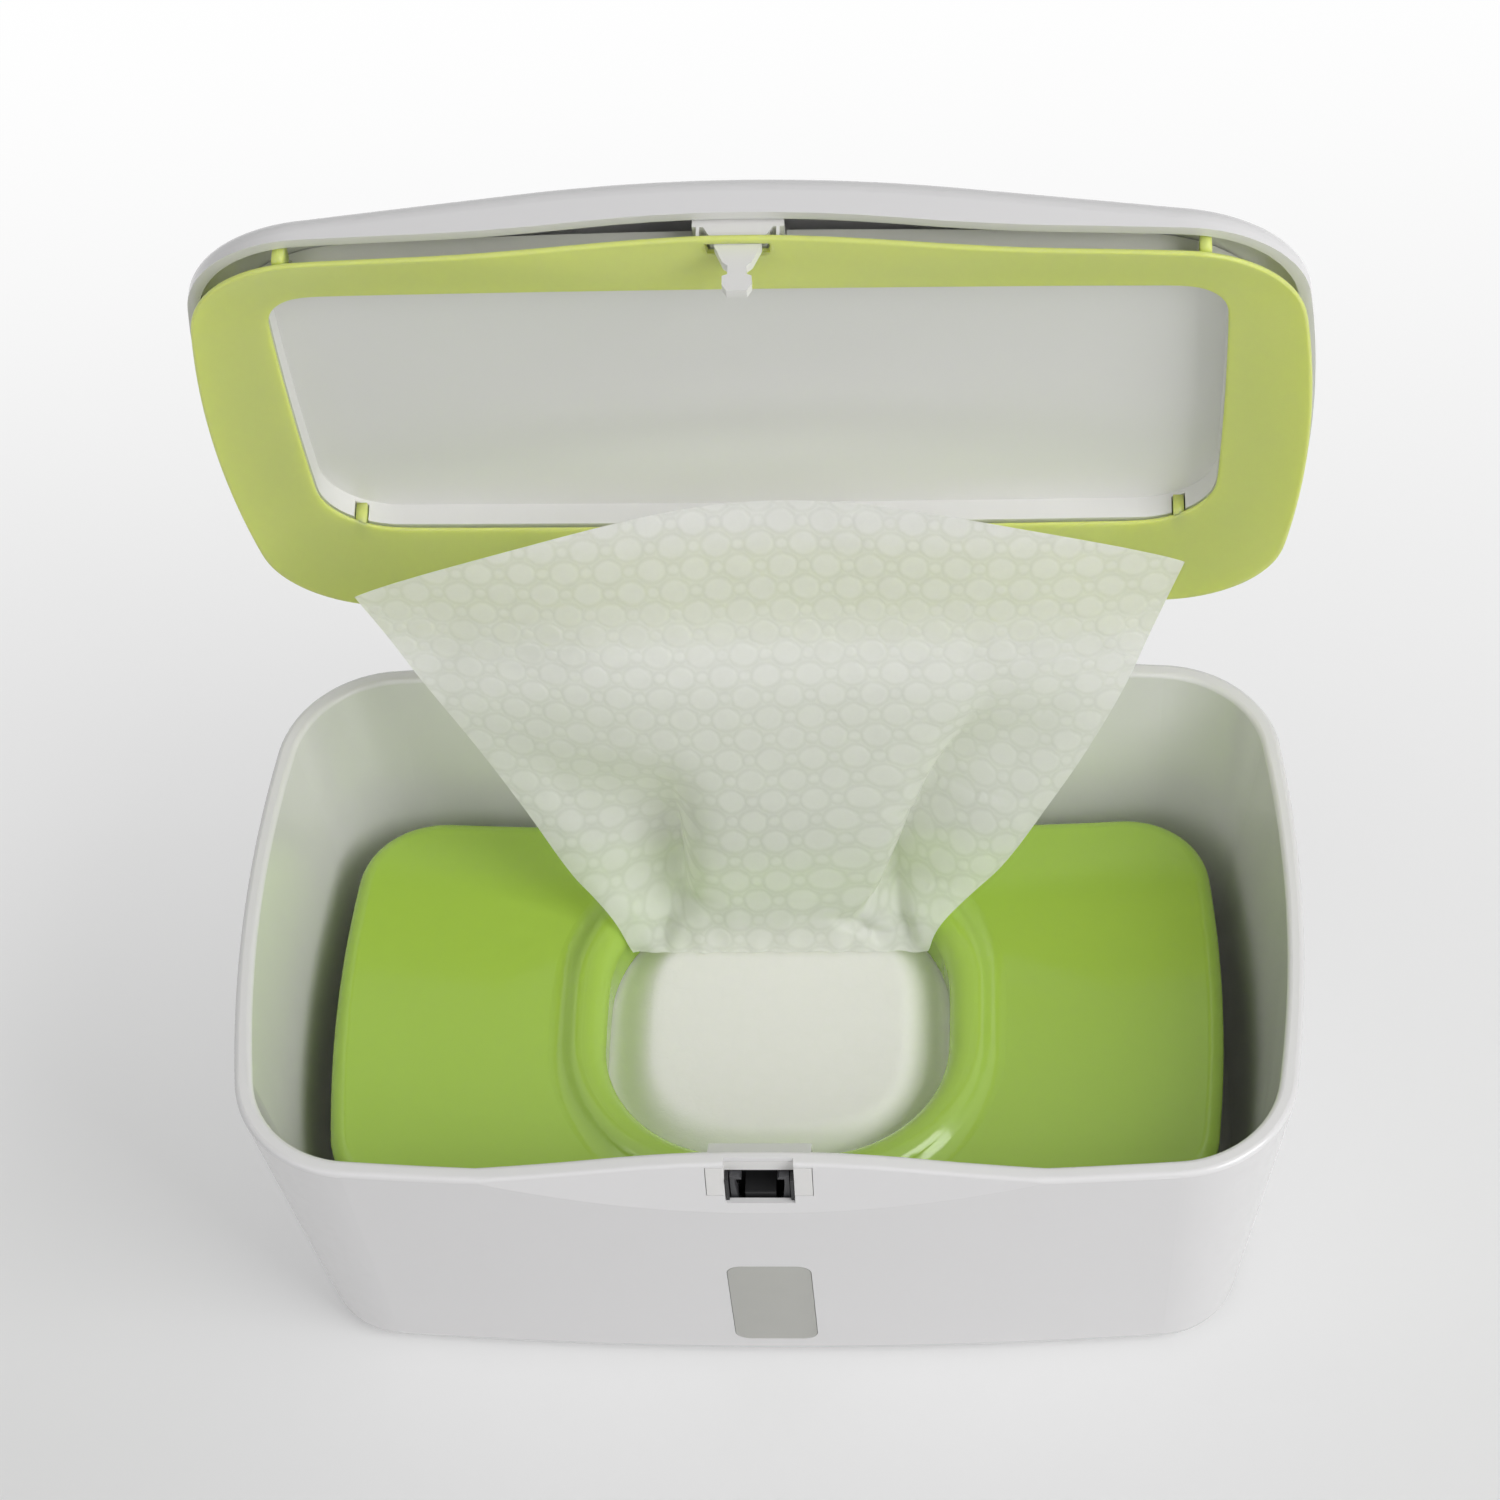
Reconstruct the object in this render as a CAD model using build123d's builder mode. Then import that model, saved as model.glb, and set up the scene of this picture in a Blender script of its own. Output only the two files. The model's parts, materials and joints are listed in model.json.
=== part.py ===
from build123d import *
import math
import os

os.makedirs("parts", exist_ok=True)

# A countertop dispenser for moist wipes, in millimetres.
# The origin is the middle of the base on the table, +Z is up and the front is -Y.
# It stands with its lid open, and lid parts are drawn closed and then swung open.

# Tub
tub_height = 82.0
rim_half_x = 111.0
rim_half_y = 69.0
rim_corner = 26.0
base_half_x = 101.0
base_half_y = 58.3
base_corner = 17.0
side_bow = 6.2
front_bow = 4.4
tub_wall = 3.5
tub_floor = 2.6
inner_floor_round = 4.0
base_round = 4.0
rim_round = 1.1

# Raised lip and scooped face at the middle of the front rim
arch_half = 62.0
arch_rise = 3.0
arch_top_z = tub_height + arch_rise
lip_half = 59.0
lip_thickness = 3.7
lip_front_round = 0.8
front_zone_y = -45.0
scoop_half = 64.0
scoop_top_y = -65.3
scoop_top_z = tub_height + 4.0
scoop_bow = 2.1
scoop_lean = 0.135
scoop_depth = 22.0

# Window in the front wall
window_half_x = 8.8
window_low = 8.0
window_high = 44.5
window_corner = 3.2
window_pane = 2.2
window_ledge = 1.3

# Feet
foot_radius = 5.5
foot_thickness = 2.0
foot_proud = 0.8
foot_inset_x = 24.0
foot_inset_y = 19.0
foot_round = 0.5

# Hinge at the back, with two lugs on the tub for each arm of the lid
hinge_y = rim_half_y + 9.0
hinge_z = tub_height + 7.3
hinge_mid_x = 58.0
hinge_gap = 22.0
lug_thickness = 3.2
lug_radius = 4.4
lug_root = 0.6
lug_foot_z = tub_height - 22.0
lug_bend_z = tub_height - 2.0
lug_neck_z = tub_height + 2.0
lug_outer_y = rim_half_y + 3.8
pin_radius = 1.5
pin_head_radius = 2.6
pin_head = 1.2
arm_width = 12.0
arm_radius = 4.0
arm_root = 0.4
arm_root_height = 6.6
arm_tail_y = hinge_y - 2.4
arm_tail_z = hinge_z - 3.2
open_angle = 78.6
hinge_wire = 1.0
hinge_coil_radius = 2.75
hinge_coil_turns = 5

# Clearances, and how far a cutting body passes what it cuts
running_gap = 0.3
fit_gap = 0.15
cut_past = 4.0

# Lid
lid_half_x = rim_half_x + 0.6
lid_half_y = rim_half_y + 1.6
lid_corner = rim_corner + 0.5
lid_wall = 2.2
skirt_z = tub_height + 5.0
crown_top = tub_height + 21.0
crown_radius_y = 630.0
crown_half_turn = 9.0
crown_depth = 40.0
crown_mid_half = 42.0
crown_mid_drop = 2.2
crown_end_half = lid_half_x + 13.4
crown_end_drop = 9.5
lid_top_round = 4.5

# Inner lid pan
liner_half_x = lid_half_x - 8.6
liner_half_y = lid_half_y - 9.1
liner_corner = lid_corner - 4.5
liner_wall = 1.7
ledge_z = tub_height + 4.0
ledge_thickness = 1.5
ceiling_z = tub_height + 8.8
ceiling_thickness = 1.3
opening_half_x = liner_half_x - 9.5
opening_front_y = -liner_half_y + 9.0
opening_back_y = liner_half_y - 24.0
opening_bow = 0.8
opening_front_corner = 9.0
opening_back_corner = 16.0
tab_front_x = opening_half_x - 5.5
tab_front_y = -liner_half_y + 2.3
tab_back_x = opening_half_x - 7.7
tab_back_y = opening_back_y + 1.5
tab_length = 6.0
tab_thickness = 1.4
tab_rise = 3.6
boss_radius = 2.6
boss_side_x = liner_half_x - 5.0
boss_side_y = 14.0
boss_back_x = 42.0
boss_back_y = liner_half_y - 10.5
screw_radius = 1.1
screw_head_radius = 2.2
screw_head = 1.0
screw_length = 7.0

# Gasket
gasket_half_x = rim_half_x - 0.2
gasket_half_y = rim_half_y - 0.2
gasket_corner = rim_corner - 0.4
gasket_z = tub_height + running_gap
gasket_lip = 1.3
gasket_sheet = 1.0
gasket_dish = 2.1
gasket_mouth_corner = 18.0

# Striker on the lid, with its bracket
striker_y = scoop_top_y - 0.2
striker_depth = 2.4
striker_shoulder = 4.5
striker_shoulder_height = 2.4
striker_waist = 2.8
striker_waist_rise = 0.8
striker_neck = 1.8
striker_barb = 0.4
striker_tip_half = 1.9
striker_tip_rise = 1.4
striker_tip_z = tub_height - 7.0
striker_head_top_z = tub_height - 3.7
striker_neck_top_z = tub_height - 1.4
striker_base_z = tub_height + 5.6
striker_flange = 1.6
striker_flange_height = 1.4
bracket_half = 8.7
bracket_low_z = gasket_z + arch_rise + gasket_sheet + running_gap
bracket_bar_z = tub_height + 6.8
bracket_top_z = tub_height + 9.0
bracket_front_y = scoop_top_y - 2.3
bracket_foot_half = 5.3
bracket_waist_half = 6.6
bracket_post_x = 7.6
bracket_post = 0.6

# Latch in the raised lip: its frame, recess and housing
recess_half = 7.0
recess_low_z = tub_height - 8.8
recess_back_y = striker_y + striker_depth / 2 + running_gap
bezel_half = 10.65
bezel_low_z = tub_height - 6.4
bezel_top_z = tub_height + 1.7
bezel_bar = 1.1
housing_half = 8.4
housing_back_y = scoop_top_y + 6.4
housing_low_z = tub_height - 27.4
housing_top_z = tub_height - 1.6
housing_wall = 1.2
throat_half = 6.2
housing_step_z = tub_height - 16.0
housing_low_front_y = scoop_top_y + 0.9
housing_mid_front_y = scoop_top_y - 0.3
housing_top_front_y = scoop_top_y - 1.1
latch_boss = 2.0
boss_top_z = arch_top_z - rim_round - running_gap

# Latch slider, jaws and spring
slider_half = 3.1
slider_front_y = scoop_top_y + 0.1
slider_back_y = scoop_top_y + 5.1
slider_low_z = tub_height - 17.2
slider_top_z = tub_height - 7.5
slider_travel = 4.0
jaw_front_y = scoop_top_y
jaw_back_y = scoop_top_y + 2.0
jaw_pivot_x = 5.0
jaw_pivot_z = tub_height - 12.5
jaw_foot = 0.7
jaw_inner_x = 5.0
jaw_outer_x = 5.95
jaw_hook_x = 3.6
jaw_hook_bevel = 0.4
jaw_hook_z = tub_height - 2.8
jaw_hook_height = 2.0
jaw_top_z = tub_height - 1.8
jaw_foot_radius = 1.15
jaw_pin_radius = 0.5
jaw_pin_seat = 1.0
latch_coil_radius = 1.4
latch_wire = 0.5
latch_coil_turns = 5

# Weighted plate on the wipes
plate_half_x = 95.5
plate_half_y = 53.5
plate_corner = 20.0
plate_bow_x = 4.0
plate_bow_y = 3.0
plate_top_z = 50.0
plate_low_z = 34.6
plate_wall = 2.0
plate_cover = 2.4
plate_dish_radius = 560.0
plate_round = 3.0
slot_half_x = 37.0
slot_half_y = 36.0
slot_corner = 29.0
slot_bow = 2.0
collar_width = 7.0
collar_foot_width = 15.0
collar_foot_z = 38.0
collar_top_z = 46.4
collar_round = 4.5
collar_blend = 6.0
plate_base_thickness = 1.6
weight_thickness = 2.6
weight_inset = 3.0
weight_slot_margin = 4.0

# Wipes
stack_half_x = 90.0
stack_half_y = 49.5
stack_corner = 14.0
stack_top_z = 34.2
stack_round = 4.0
mound_half_x = 35.0
mound_half_y = 34.0
mound_corner = 26.0
mound_top_z = 40.6
mound_round = 5.0
wipe_thickness = 0.9
wipe_folds = 8
wipe_low_z = 41.2
wipe_foot_half = 31.5
wipe_foot_y = 18.5
wipe_lean = 0.21
wipe_waist_z = 48.0
wipe_waist_half = 32.5
wipe_left_x = -84.0
wipe_left_z = 137.0
wipe_right_x = 86.0
wipe_right_z = 144.0
wipe_crest_x = 9.0
wipe_crest_z = 160.0
wipe_side_left_x = -56.0
wipe_side_right_x = 62.0
wipe_side_z = 84.0
wipe_foot_spread = 2.0
wipe_foot_swing = 2.6
wipe_mid_z = 62.0
wipe_mid_half = 54.0
wipe_mid_swing = 4.2
wipe_fan_z = 100.0
wipe_fan_half = 78.0
wipe_fan_swing = 2.8
wipe_top_half = 104.0
wipe_top_swing = 1.2


def label_and_save(builder, name):
    builder.part.label = name
    export_step(builder.part, f"parts/{name}.step")


def bowed_outline(half_x, half_y, corner, bow_x, bow_y):
    """A rounded rectangle whose four sides bow outwards."""
    corner_x = half_x - bow_x
    corner_y = half_y - bow_y
    with BuildSketch() as outline:
        with BuildLine():
            ThreePointArc((corner_x, -corner_y), (half_x, 0), (corner_x, corner_y))
            ThreePointArc((corner_x, corner_y), (0, half_y), (-corner_x, corner_y))
            ThreePointArc((-corner_x, corner_y), (-half_x, 0), (-corner_x, -corner_y))
            ThreePointArc((-corner_x, -corner_y), (0, -half_y), (corner_x, -corner_y))
        make_face()
        fillet(outline.vertices(), corner)
    return outline.sketch


def tub_outline(z, inset):
    """The tub's outline at one height, drawn in by an inset."""
    share = z / tub_height
    half_x = base_half_x + (rim_half_x - base_half_x) * share - inset
    half_y = base_half_y + (rim_half_y - base_half_y) * share - inset
    corner = base_corner + (rim_corner - base_corner) * share - inset
    return bowed_outline(half_x, half_y, corner, side_bow, front_bow)


def tub_body(inset, low_z, high_z, low_round):
    """The tapered body of the tub between two heights, with a rounded bottom edge."""
    with BuildPart() as body:
        with BuildSketch(Plane.XY.offset(low_z)):
            add(tub_outline(low_z, inset))
        with BuildSketch(Plane.XY.offset(high_z)):
            add(tub_outline(high_z, inset))
        loft(ruled=True)
        if low_round > 0:
            fillet(body.faces().sort_by(Axis.Z)[0].edges(), low_round)
    return body.part


def back_wall_y(z, x):
    """Where the tub's back wall has its outer face, at one height and distance from the middle."""
    share = z / tub_height
    half_x = base_half_x + (rim_half_x - base_half_x) * share
    half_y = base_half_y + (rim_half_y - base_half_y) * share
    return half_y - front_bow * (x / (half_x - side_bow)) ** 2


def arch_zone(level, far_z):
    """The space from an arch, level at its feet, to a far height, over the object's front."""
    quarter = arch_half / 2
    rise = arch_rise
    far_half = lid_half_x + cut_past
    with BuildPart() as zone:
        with BuildSketch(Plane.XZ.offset(-front_zone_y)):
            with BuildLine():
                TangentArc((-arch_half, level), (-quarter, level + rise / 2), tangent=(1, 0))
                ThreePointArc(
                    (-quarter, level + rise / 2), (0, level + rise), (quarter, level + rise / 2)
                )
                TangentArc((arch_half, level), (quarter, level + rise / 2), tangent=(-1, 0))
                Polyline(
                    (-arch_half, level), (-far_half, level), (-far_half, far_z),
                    (far_half, far_z), (far_half, level), (arch_half, level),
                )
            make_face()
        extrude(amount=arch_half)
    return zone.part


def scoop_face_y(x, z):
    """Where the scooped face lies, at one distance from the middle and one height."""
    return scoop_top_y - scoop_bow * (x / scoop_half) ** 2 - scoop_lean * (scoop_top_z - z)


def scoop_prism(inward, half_width):
    """The space in front of the scooped face, which leans back, or of a face set further in."""
    face_y = scoop_top_y + inward
    edge_y = scoop_face_y(half_width, scoop_top_z) + inward
    with BuildPart() as prism:
        with BuildSketch(Plane.XY.offset(scoop_top_z)):
            with BuildLine():
                ThreePointArc((-half_width, edge_y), (0, face_y), (half_width, edge_y))
                Polyline(
                    (-half_width, edge_y), (-half_width, -rim_half_y - cut_past),
                    (half_width, -rim_half_y - cut_past), (half_width, edge_y),
                )
            make_face()
        extrude(amount=scoop_depth, dir=(0, -scoop_lean, -1))
    return prism.part


def block(x0, x1, y0, y1, z0, z1):
    """A plain block between two corners."""
    with BuildPart() as solid:
        with Locations(((x0 + x1) / 2, (y0 + y1) / 2, (z0 + z1) / 2)):
            Box(abs(x1 - x0), abs(y1 - y0), abs(z1 - z0))
    return solid.part


def window_prism(margin):
    """The window's rounded outline, driven through the front wall."""
    middle_z = (window_low + window_high) / 2
    with BuildPart() as prism:
        with BuildSketch(Plane.XZ.offset(-front_zone_y)):
            with Locations((0, middle_z)):
                RectangleRounded(
                    2 * (window_half_x - margin), window_high - window_low - 2 * margin,
                    window_corner - margin / 2,
                )
        extrude(amount=rim_half_y)
    return prism.part


def crown_body(lower_by):
    """Everything under the lid's domed top, which may be lowered."""
    axis_z = crown_top - crown_radius_y
    tilt = math.radians(crown_half_turn)
    side_plane = Plane(
        origin=(0, 0, axis_z), x_dir=(1, 0, 0), z_dir=(0, -math.cos(tilt), math.sin(tilt))
    )
    top = crown_radius_y - lower_by
    mid_slope = 2 * crown_mid_drop / crown_mid_half
    low = top - crown_depth
    with BuildPart() as crown:
        with BuildSketch(side_plane):
            with BuildLine():
                ThreePointArc(
                    (-crown_mid_half, top - crown_mid_drop), (0, top),
                    (crown_mid_half, top - crown_mid_drop),
                )
                TangentArc(
                    (crown_mid_half, top - crown_mid_drop), (crown_end_half, top - crown_end_drop),
                    tangent=(1, -mid_slope),
                )
                TangentArc(
                    (-crown_mid_half, top - crown_mid_drop), (-crown_end_half, top - crown_end_drop),
                    tangent=(-1, -mid_slope),
                )
                Polyline(
                    (-crown_end_half, top - crown_end_drop), (-crown_end_half, low),
                    (crown_end_half, low), (crown_end_half, top - crown_end_drop),
                )
            make_face()
        revolve(axis=Axis((0, 0, axis_z), (1, 0, 0)), revolution_arc=2 * crown_half_turn)
    return crown.part


def lid_prism(half_x, half_y, corner, low_z, high_z):
    """An upright body with the lid's bowed outline."""
    with BuildPart() as prism:
        with BuildSketch(Plane.XY.offset(low_z)):
            add(bowed_outline(half_x, half_y, corner, side_bow, front_bow))
        extrude(amount=high_z - low_z)
    return prism.part


def opening_prism(grow, low_z, high_z):
    """The mouth of the inner lid, rounder at the back, which may be grown."""
    front_y = opening_front_y - grow
    back_y = opening_back_y + grow
    middle_y = (front_y + back_y) / 2
    half_x = opening_half_x + grow
    corner_x = half_x - opening_bow
    low_y = front_y + opening_bow
    high_y = back_y - opening_bow
    with BuildPart() as prism:
        with BuildSketch(Plane.XY.offset(low_z)) as outline:
            with BuildLine():
                ThreePointArc((corner_x, low_y), (half_x, middle_y), (corner_x, high_y))
                ThreePointArc((corner_x, high_y), (0, back_y), (-corner_x, high_y))
                ThreePointArc((-corner_x, high_y), (-half_x, middle_y), (-corner_x, low_y))
                ThreePointArc((-corner_x, low_y), (0, front_y), (corner_x, low_y))
            make_face()
            corners = outline.vertices().sort_by(Axis.Y)
            fillet(corners[:2], opening_front_corner + grow)
            fillet(outline.vertices().sort_by(Axis.Y)[-2:], opening_back_corner + grow)
        extrude(amount=high_z - low_z)
    return prism.part


def open_lid(part):
    """Swings a closed lid part open about the hinge axis."""
    return part.rotate(Axis((0, hinge_y, hinge_z), (1, 0, 0)), -open_angle)


def save_open(builder, name):
    """Saves a lid part in its open place."""
    opened = open_lid(builder.part)
    opened.label = name
    export_step(opened, f"parts/{name}.step")


# Tub shell
latch_boss_half = housing_half + latch_boss
latch_boss_back_y = housing_back_y + housing_wall
latch_boss_low_z = housing_low_z - latch_boss
foot_x = base_half_x - foot_inset_x
foot_y = base_half_y - foot_inset_y
lug_reach = (hinge_gap + lug_thickness) / 2
lug_xs = [side * (hinge_mid_x + end * lug_reach) for side in (-1, 1) for end in (-1, 1)]
with BuildPart() as tub_shell:
    add(tub_body(0, foot_proud, arch_top_z + cut_past, base_round))
    add(tub_body(tub_wall, tub_floor + foot_proud, arch_top_z + 2 * cut_past, inner_floor_round),
        mode=Mode.SUBTRACT)
    # The rim is level except for the raised lip at the front
    add(block(-rim_half_x - cut_past, rim_half_x + cut_past, front_zone_y, rim_half_y + cut_past,
              tub_height, arch_top_z + 2 * cut_past), mode=Mode.SUBTRACT)
    add(arch_zone(tub_height, arch_top_z + 2 * cut_past), mode=Mode.SUBTRACT)
    rim_edges = [
        edge for edge in tub_shell.edges()
        if edge.center().Z > tub_height - rim_round / 2 and edge.length > 2 * tub_wall
    ]
    fillet(rim_edges, rim_round)
    # The front wall is thicker behind the scoop, as a raised lip
    with BuildPart(mode=Mode.PRIVATE) as lip:
        add(scoop_prism(lip_thickness, lip_half))
        add(tub_body(tub_wall / 2, foot_proud, arch_top_z + cut_past, 0), mode=Mode.INTERSECT)
        add(arch_zone(tub_height, arch_top_z + 2 * cut_past), mode=Mode.SUBTRACT)
        lip_edges = [
            edge for edge in lip.edges()
            if edge.center().Z > tub_height and edge.length > 2 * tub_wall
            and edge.center().Y > scoop_top_y - scoop_bow + tub_wall / 2
        ]
        fillet(lip_edges, rim_round)
    add(lip.part)
    # The boss behind the front wall that carries the latch
    with BuildPart(mode=Mode.PRIVATE) as boss:
        add(block(-latch_boss_half, latch_boss_half, latch_boss_back_y, -rim_half_y,
                  latch_boss_low_z, boss_top_z))
        add(tub_body(tub_wall / 2, foot_proud, arch_top_z, 0), mode=Mode.INTERSECT)
        with BuildSketch(Plane.YZ.offset(-latch_boss_half)):
            with BuildLine():
                Polyline(
                    (latch_boss_back_y, housing_top_z + running_gap), (latch_boss_back_y, boss_top_z),
                    (scoop_top_y + lip_thickness, boss_top_z), close=True,
                )
            make_face()
        extrude(amount=2 * latch_boss_half, mode=Mode.SUBTRACT)
    add(boss.part)
    # The scooped face under the lip, rounded where it meets the top
    add(scoop_prism(0, scoop_half), mode=Mode.SUBTRACT)
    brow_edges = [
        edge for edge in tub_shell.edges()
        if edge.center().Z > tub_height and edge.length > 2 * tub_wall
        and abs(edge.center().Y - scoop_face_y(edge.center().X, edge.center().Z)) < fit_gap
    ]
    fillet(brow_edges, lip_front_round)
    # Window with a ledge that the pane rests on
    add(window_prism(window_ledge), mode=Mode.SUBTRACT)
    with BuildPart(mode=Mode.PRIVATE) as window_seat:
        add(window_prism(0))
        add(tub_body(window_pane, foot_proud, tub_height, 0), mode=Mode.SUBTRACT)
    add(window_seat.part, mode=Mode.SUBTRACT)
    # Latch housing pocket, the recess that the striker enters and the seat of its frame
    pocket = housing_half + fit_gap
    add(block(-pocket, pocket, housing_back_y + fit_gap, housing_low_front_y - fit_gap,
              housing_low_z - fit_gap, housing_top_z + fit_gap), mode=Mode.SUBTRACT)
    add(block(-pocket, pocket, housing_back_y + fit_gap, housing_mid_front_y - fit_gap,
              housing_step_z - fit_gap, recess_low_z), mode=Mode.SUBTRACT)
    add(block(-recess_half, recess_half, recess_back_y, -rim_half_y, recess_low_z, scoop_top_z),
        mode=Mode.SUBTRACT)
    seat = bezel_half + fit_gap
    bar_low_z = housing_top_z + fit_gap
    add(block(-seat, seat, housing_low_front_y, -rim_half_y, bezel_low_z - fit_gap,
              bezel_top_z + fit_gap), mode=Mode.SUBTRACT)
    add(block(-seat, seat, recess_back_y + bezel_bar + fit_gap, -rim_half_y, bar_low_z,
              bezel_top_z + fit_gap), mode=Mode.SUBTRACT)
    # Foot recesses
    with Locations(*[(sx * foot_x, sy * foot_y, foot_proud) for sx in (-1, 1) for sy in (-1, 1)]):
        Cylinder(foot_radius + fit_gap, foot_thickness - foot_proud,
                 align=(Align.CENTER, Align.CENTER, Align.MIN), mode=Mode.SUBTRACT)
    # Hinge lugs on the back wall
    lug_far_x = hinge_mid_x + lug_reach + lug_thickness / 2
    lug_foot_y = back_wall_y(lug_foot_z, lug_far_x) - lug_root
    lug_bend_y = back_wall_y(lug_bend_z, lug_far_x) - lug_root
    for lug_x in lug_xs:
        with BuildSketch(Plane.YZ.offset(lug_x - lug_thickness / 2)):
            with BuildLine():
                Polyline(
                    (lug_foot_y, lug_foot_z), (lug_outer_y, lug_bend_z),
                    (hinge_y + lug_radius, hinge_z), (hinge_y - lug_radius, hinge_z),
                    (hinge_y - lug_radius, lug_neck_z), (lug_bend_y, lug_bend_z), close=True,
                )
            make_face()
            with Locations((hinge_y, hinge_z)):
                Circle(lug_radius)
        extrude(amount=lug_thickness)
    with BuildSketch(Plane.YZ.offset(-rim_half_x)):
        with Locations((hinge_y, hinge_z)):
            Circle(pin_radius + fit_gap / 2)
    extrude(amount=2 * rim_half_x, mode=Mode.SUBTRACT)
label_and_save(tub_shell, "tub_shell")

# Window pane
with BuildPart() as window:
    add(window_prism(fit_gap))
    add(tub_body(0, foot_proud, tub_height, 0), mode=Mode.INTERSECT)
    add(tub_body(window_pane - fit_gap, foot_proud, tub_height, 0), mode=Mode.SUBTRACT)
label_and_save(window, "window")

# Rubber feet
with BuildPart() as rubber_feet:
    with Locations(*[(sx * foot_x, sy * foot_y, 0) for sx in (-1, 1) for sy in (-1, 1)]):
        Cylinder(foot_radius, foot_thickness, align=(Align.CENTER, Align.CENTER, Align.MIN))
    fillet(rubber_feet.edges().filter_by(GeomType.CIRCLE).group_by(Axis.Z)[0], foot_round)
label_and_save(rubber_feet, "rubber_feet")

# Hinge pins
with BuildPart() as hinge_pins:
    for side in (-1, 1):
        inner_end = hinge_mid_x - hinge_gap / 2 - lug_thickness - 1
        outer_end = hinge_mid_x + hinge_gap / 2 + lug_thickness
        with BuildSketch(Plane.YZ.offset(side * inner_end)):
            with Locations((hinge_y, hinge_z)):
                Circle(pin_radius)
        extrude(amount=side * (outer_end - inner_end))
        with BuildSketch(Plane.YZ.offset(side * outer_end)):
            with Locations((hinge_y, hinge_z)):
                Circle(pin_head_radius)
        extrude(amount=side * pin_head)
label_and_save(hinge_pins, "hinge_pins")


def coil_path(radius, pitch, turns):
    """The middle line of a coil about Z, with two arcs for each half turn."""
    slope = pitch / (2 * math.pi * radius)
    across = 1 / math.hypot(1, slope)
    up = slope * across
    reach = math.sqrt(up**2 * pitch**2 + across**2 * (16 * radius**2 + pitch**2)) - up * pitch
    reach /= 4 * across**2
    with BuildLine() as line:
        for half_turn in range(2 * turns):
            side = -1 if half_turn % 2 else 1
            start = Vector(side * radius, 0, half_turn * pitch / 2)
            end = Vector(-side * radius, 0, (half_turn + 1) * pitch / 2)
            leaving = start + Vector(0, side * across, up) * reach
            arriving = end - Vector(0, -side * across, up) * reach
            joint = (leaving + arriving) / 2
            for first, bend, last in ((start, leaving, joint), (joint, arriving, end)):
                middle = (first + last) / 2
                weight = (middle - first).length / reach
                ThreePointArc(first, (middle + bend * weight) / (1 + weight), last)
    return line.line


def coil_spring(name, radius, wire, turns, height):
    """A coil of round wire about Z, standing on the origin, whose least gap is printed."""
    path = coil_path(radius, (height - wire) / turns, turns)
    steps = 48
    points = [path @ (step / (steps * turns)) for step in range(steps * turns + 1)]
    gap = min(
        (here - there).length for place, here in enumerate(points)
        for there in points[place + steps // 2:]
    )
    print(f"{name}: {turns} turns, least gap to itself {gap - wire:.2f} mm")
    with BuildPart() as coil:
        add(path)
        with BuildSketch(Plane(origin=path @ 0, z_dir=path % 0)):
            Circle(wire / 2)
        sweep()
    return coil.part.moved(Location((0, 0, wire / 2)))


# Hinge springs, one beside each lid arm
spring_width = hinge_gap - arm_width - 3 * running_gap
for side, side_name in ((-1, "left"), (1, "right")):
    coil = coil_spring(f"hinge_spring_{side_name}", hinge_coil_radius, hinge_wire,
                       hinge_coil_turns, spring_width)
    start_x = side * (hinge_mid_x - hinge_gap / 2 + running_gap)
    turned = coil.rotate(Axis.Y, 90 * side).moved(Location((start_x, hinge_y, hinge_z)))
    with BuildPart() as hinge_spring:
        add(turned)
    label_and_save(hinge_spring, f"hinge_spring_{side_name}")

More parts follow.
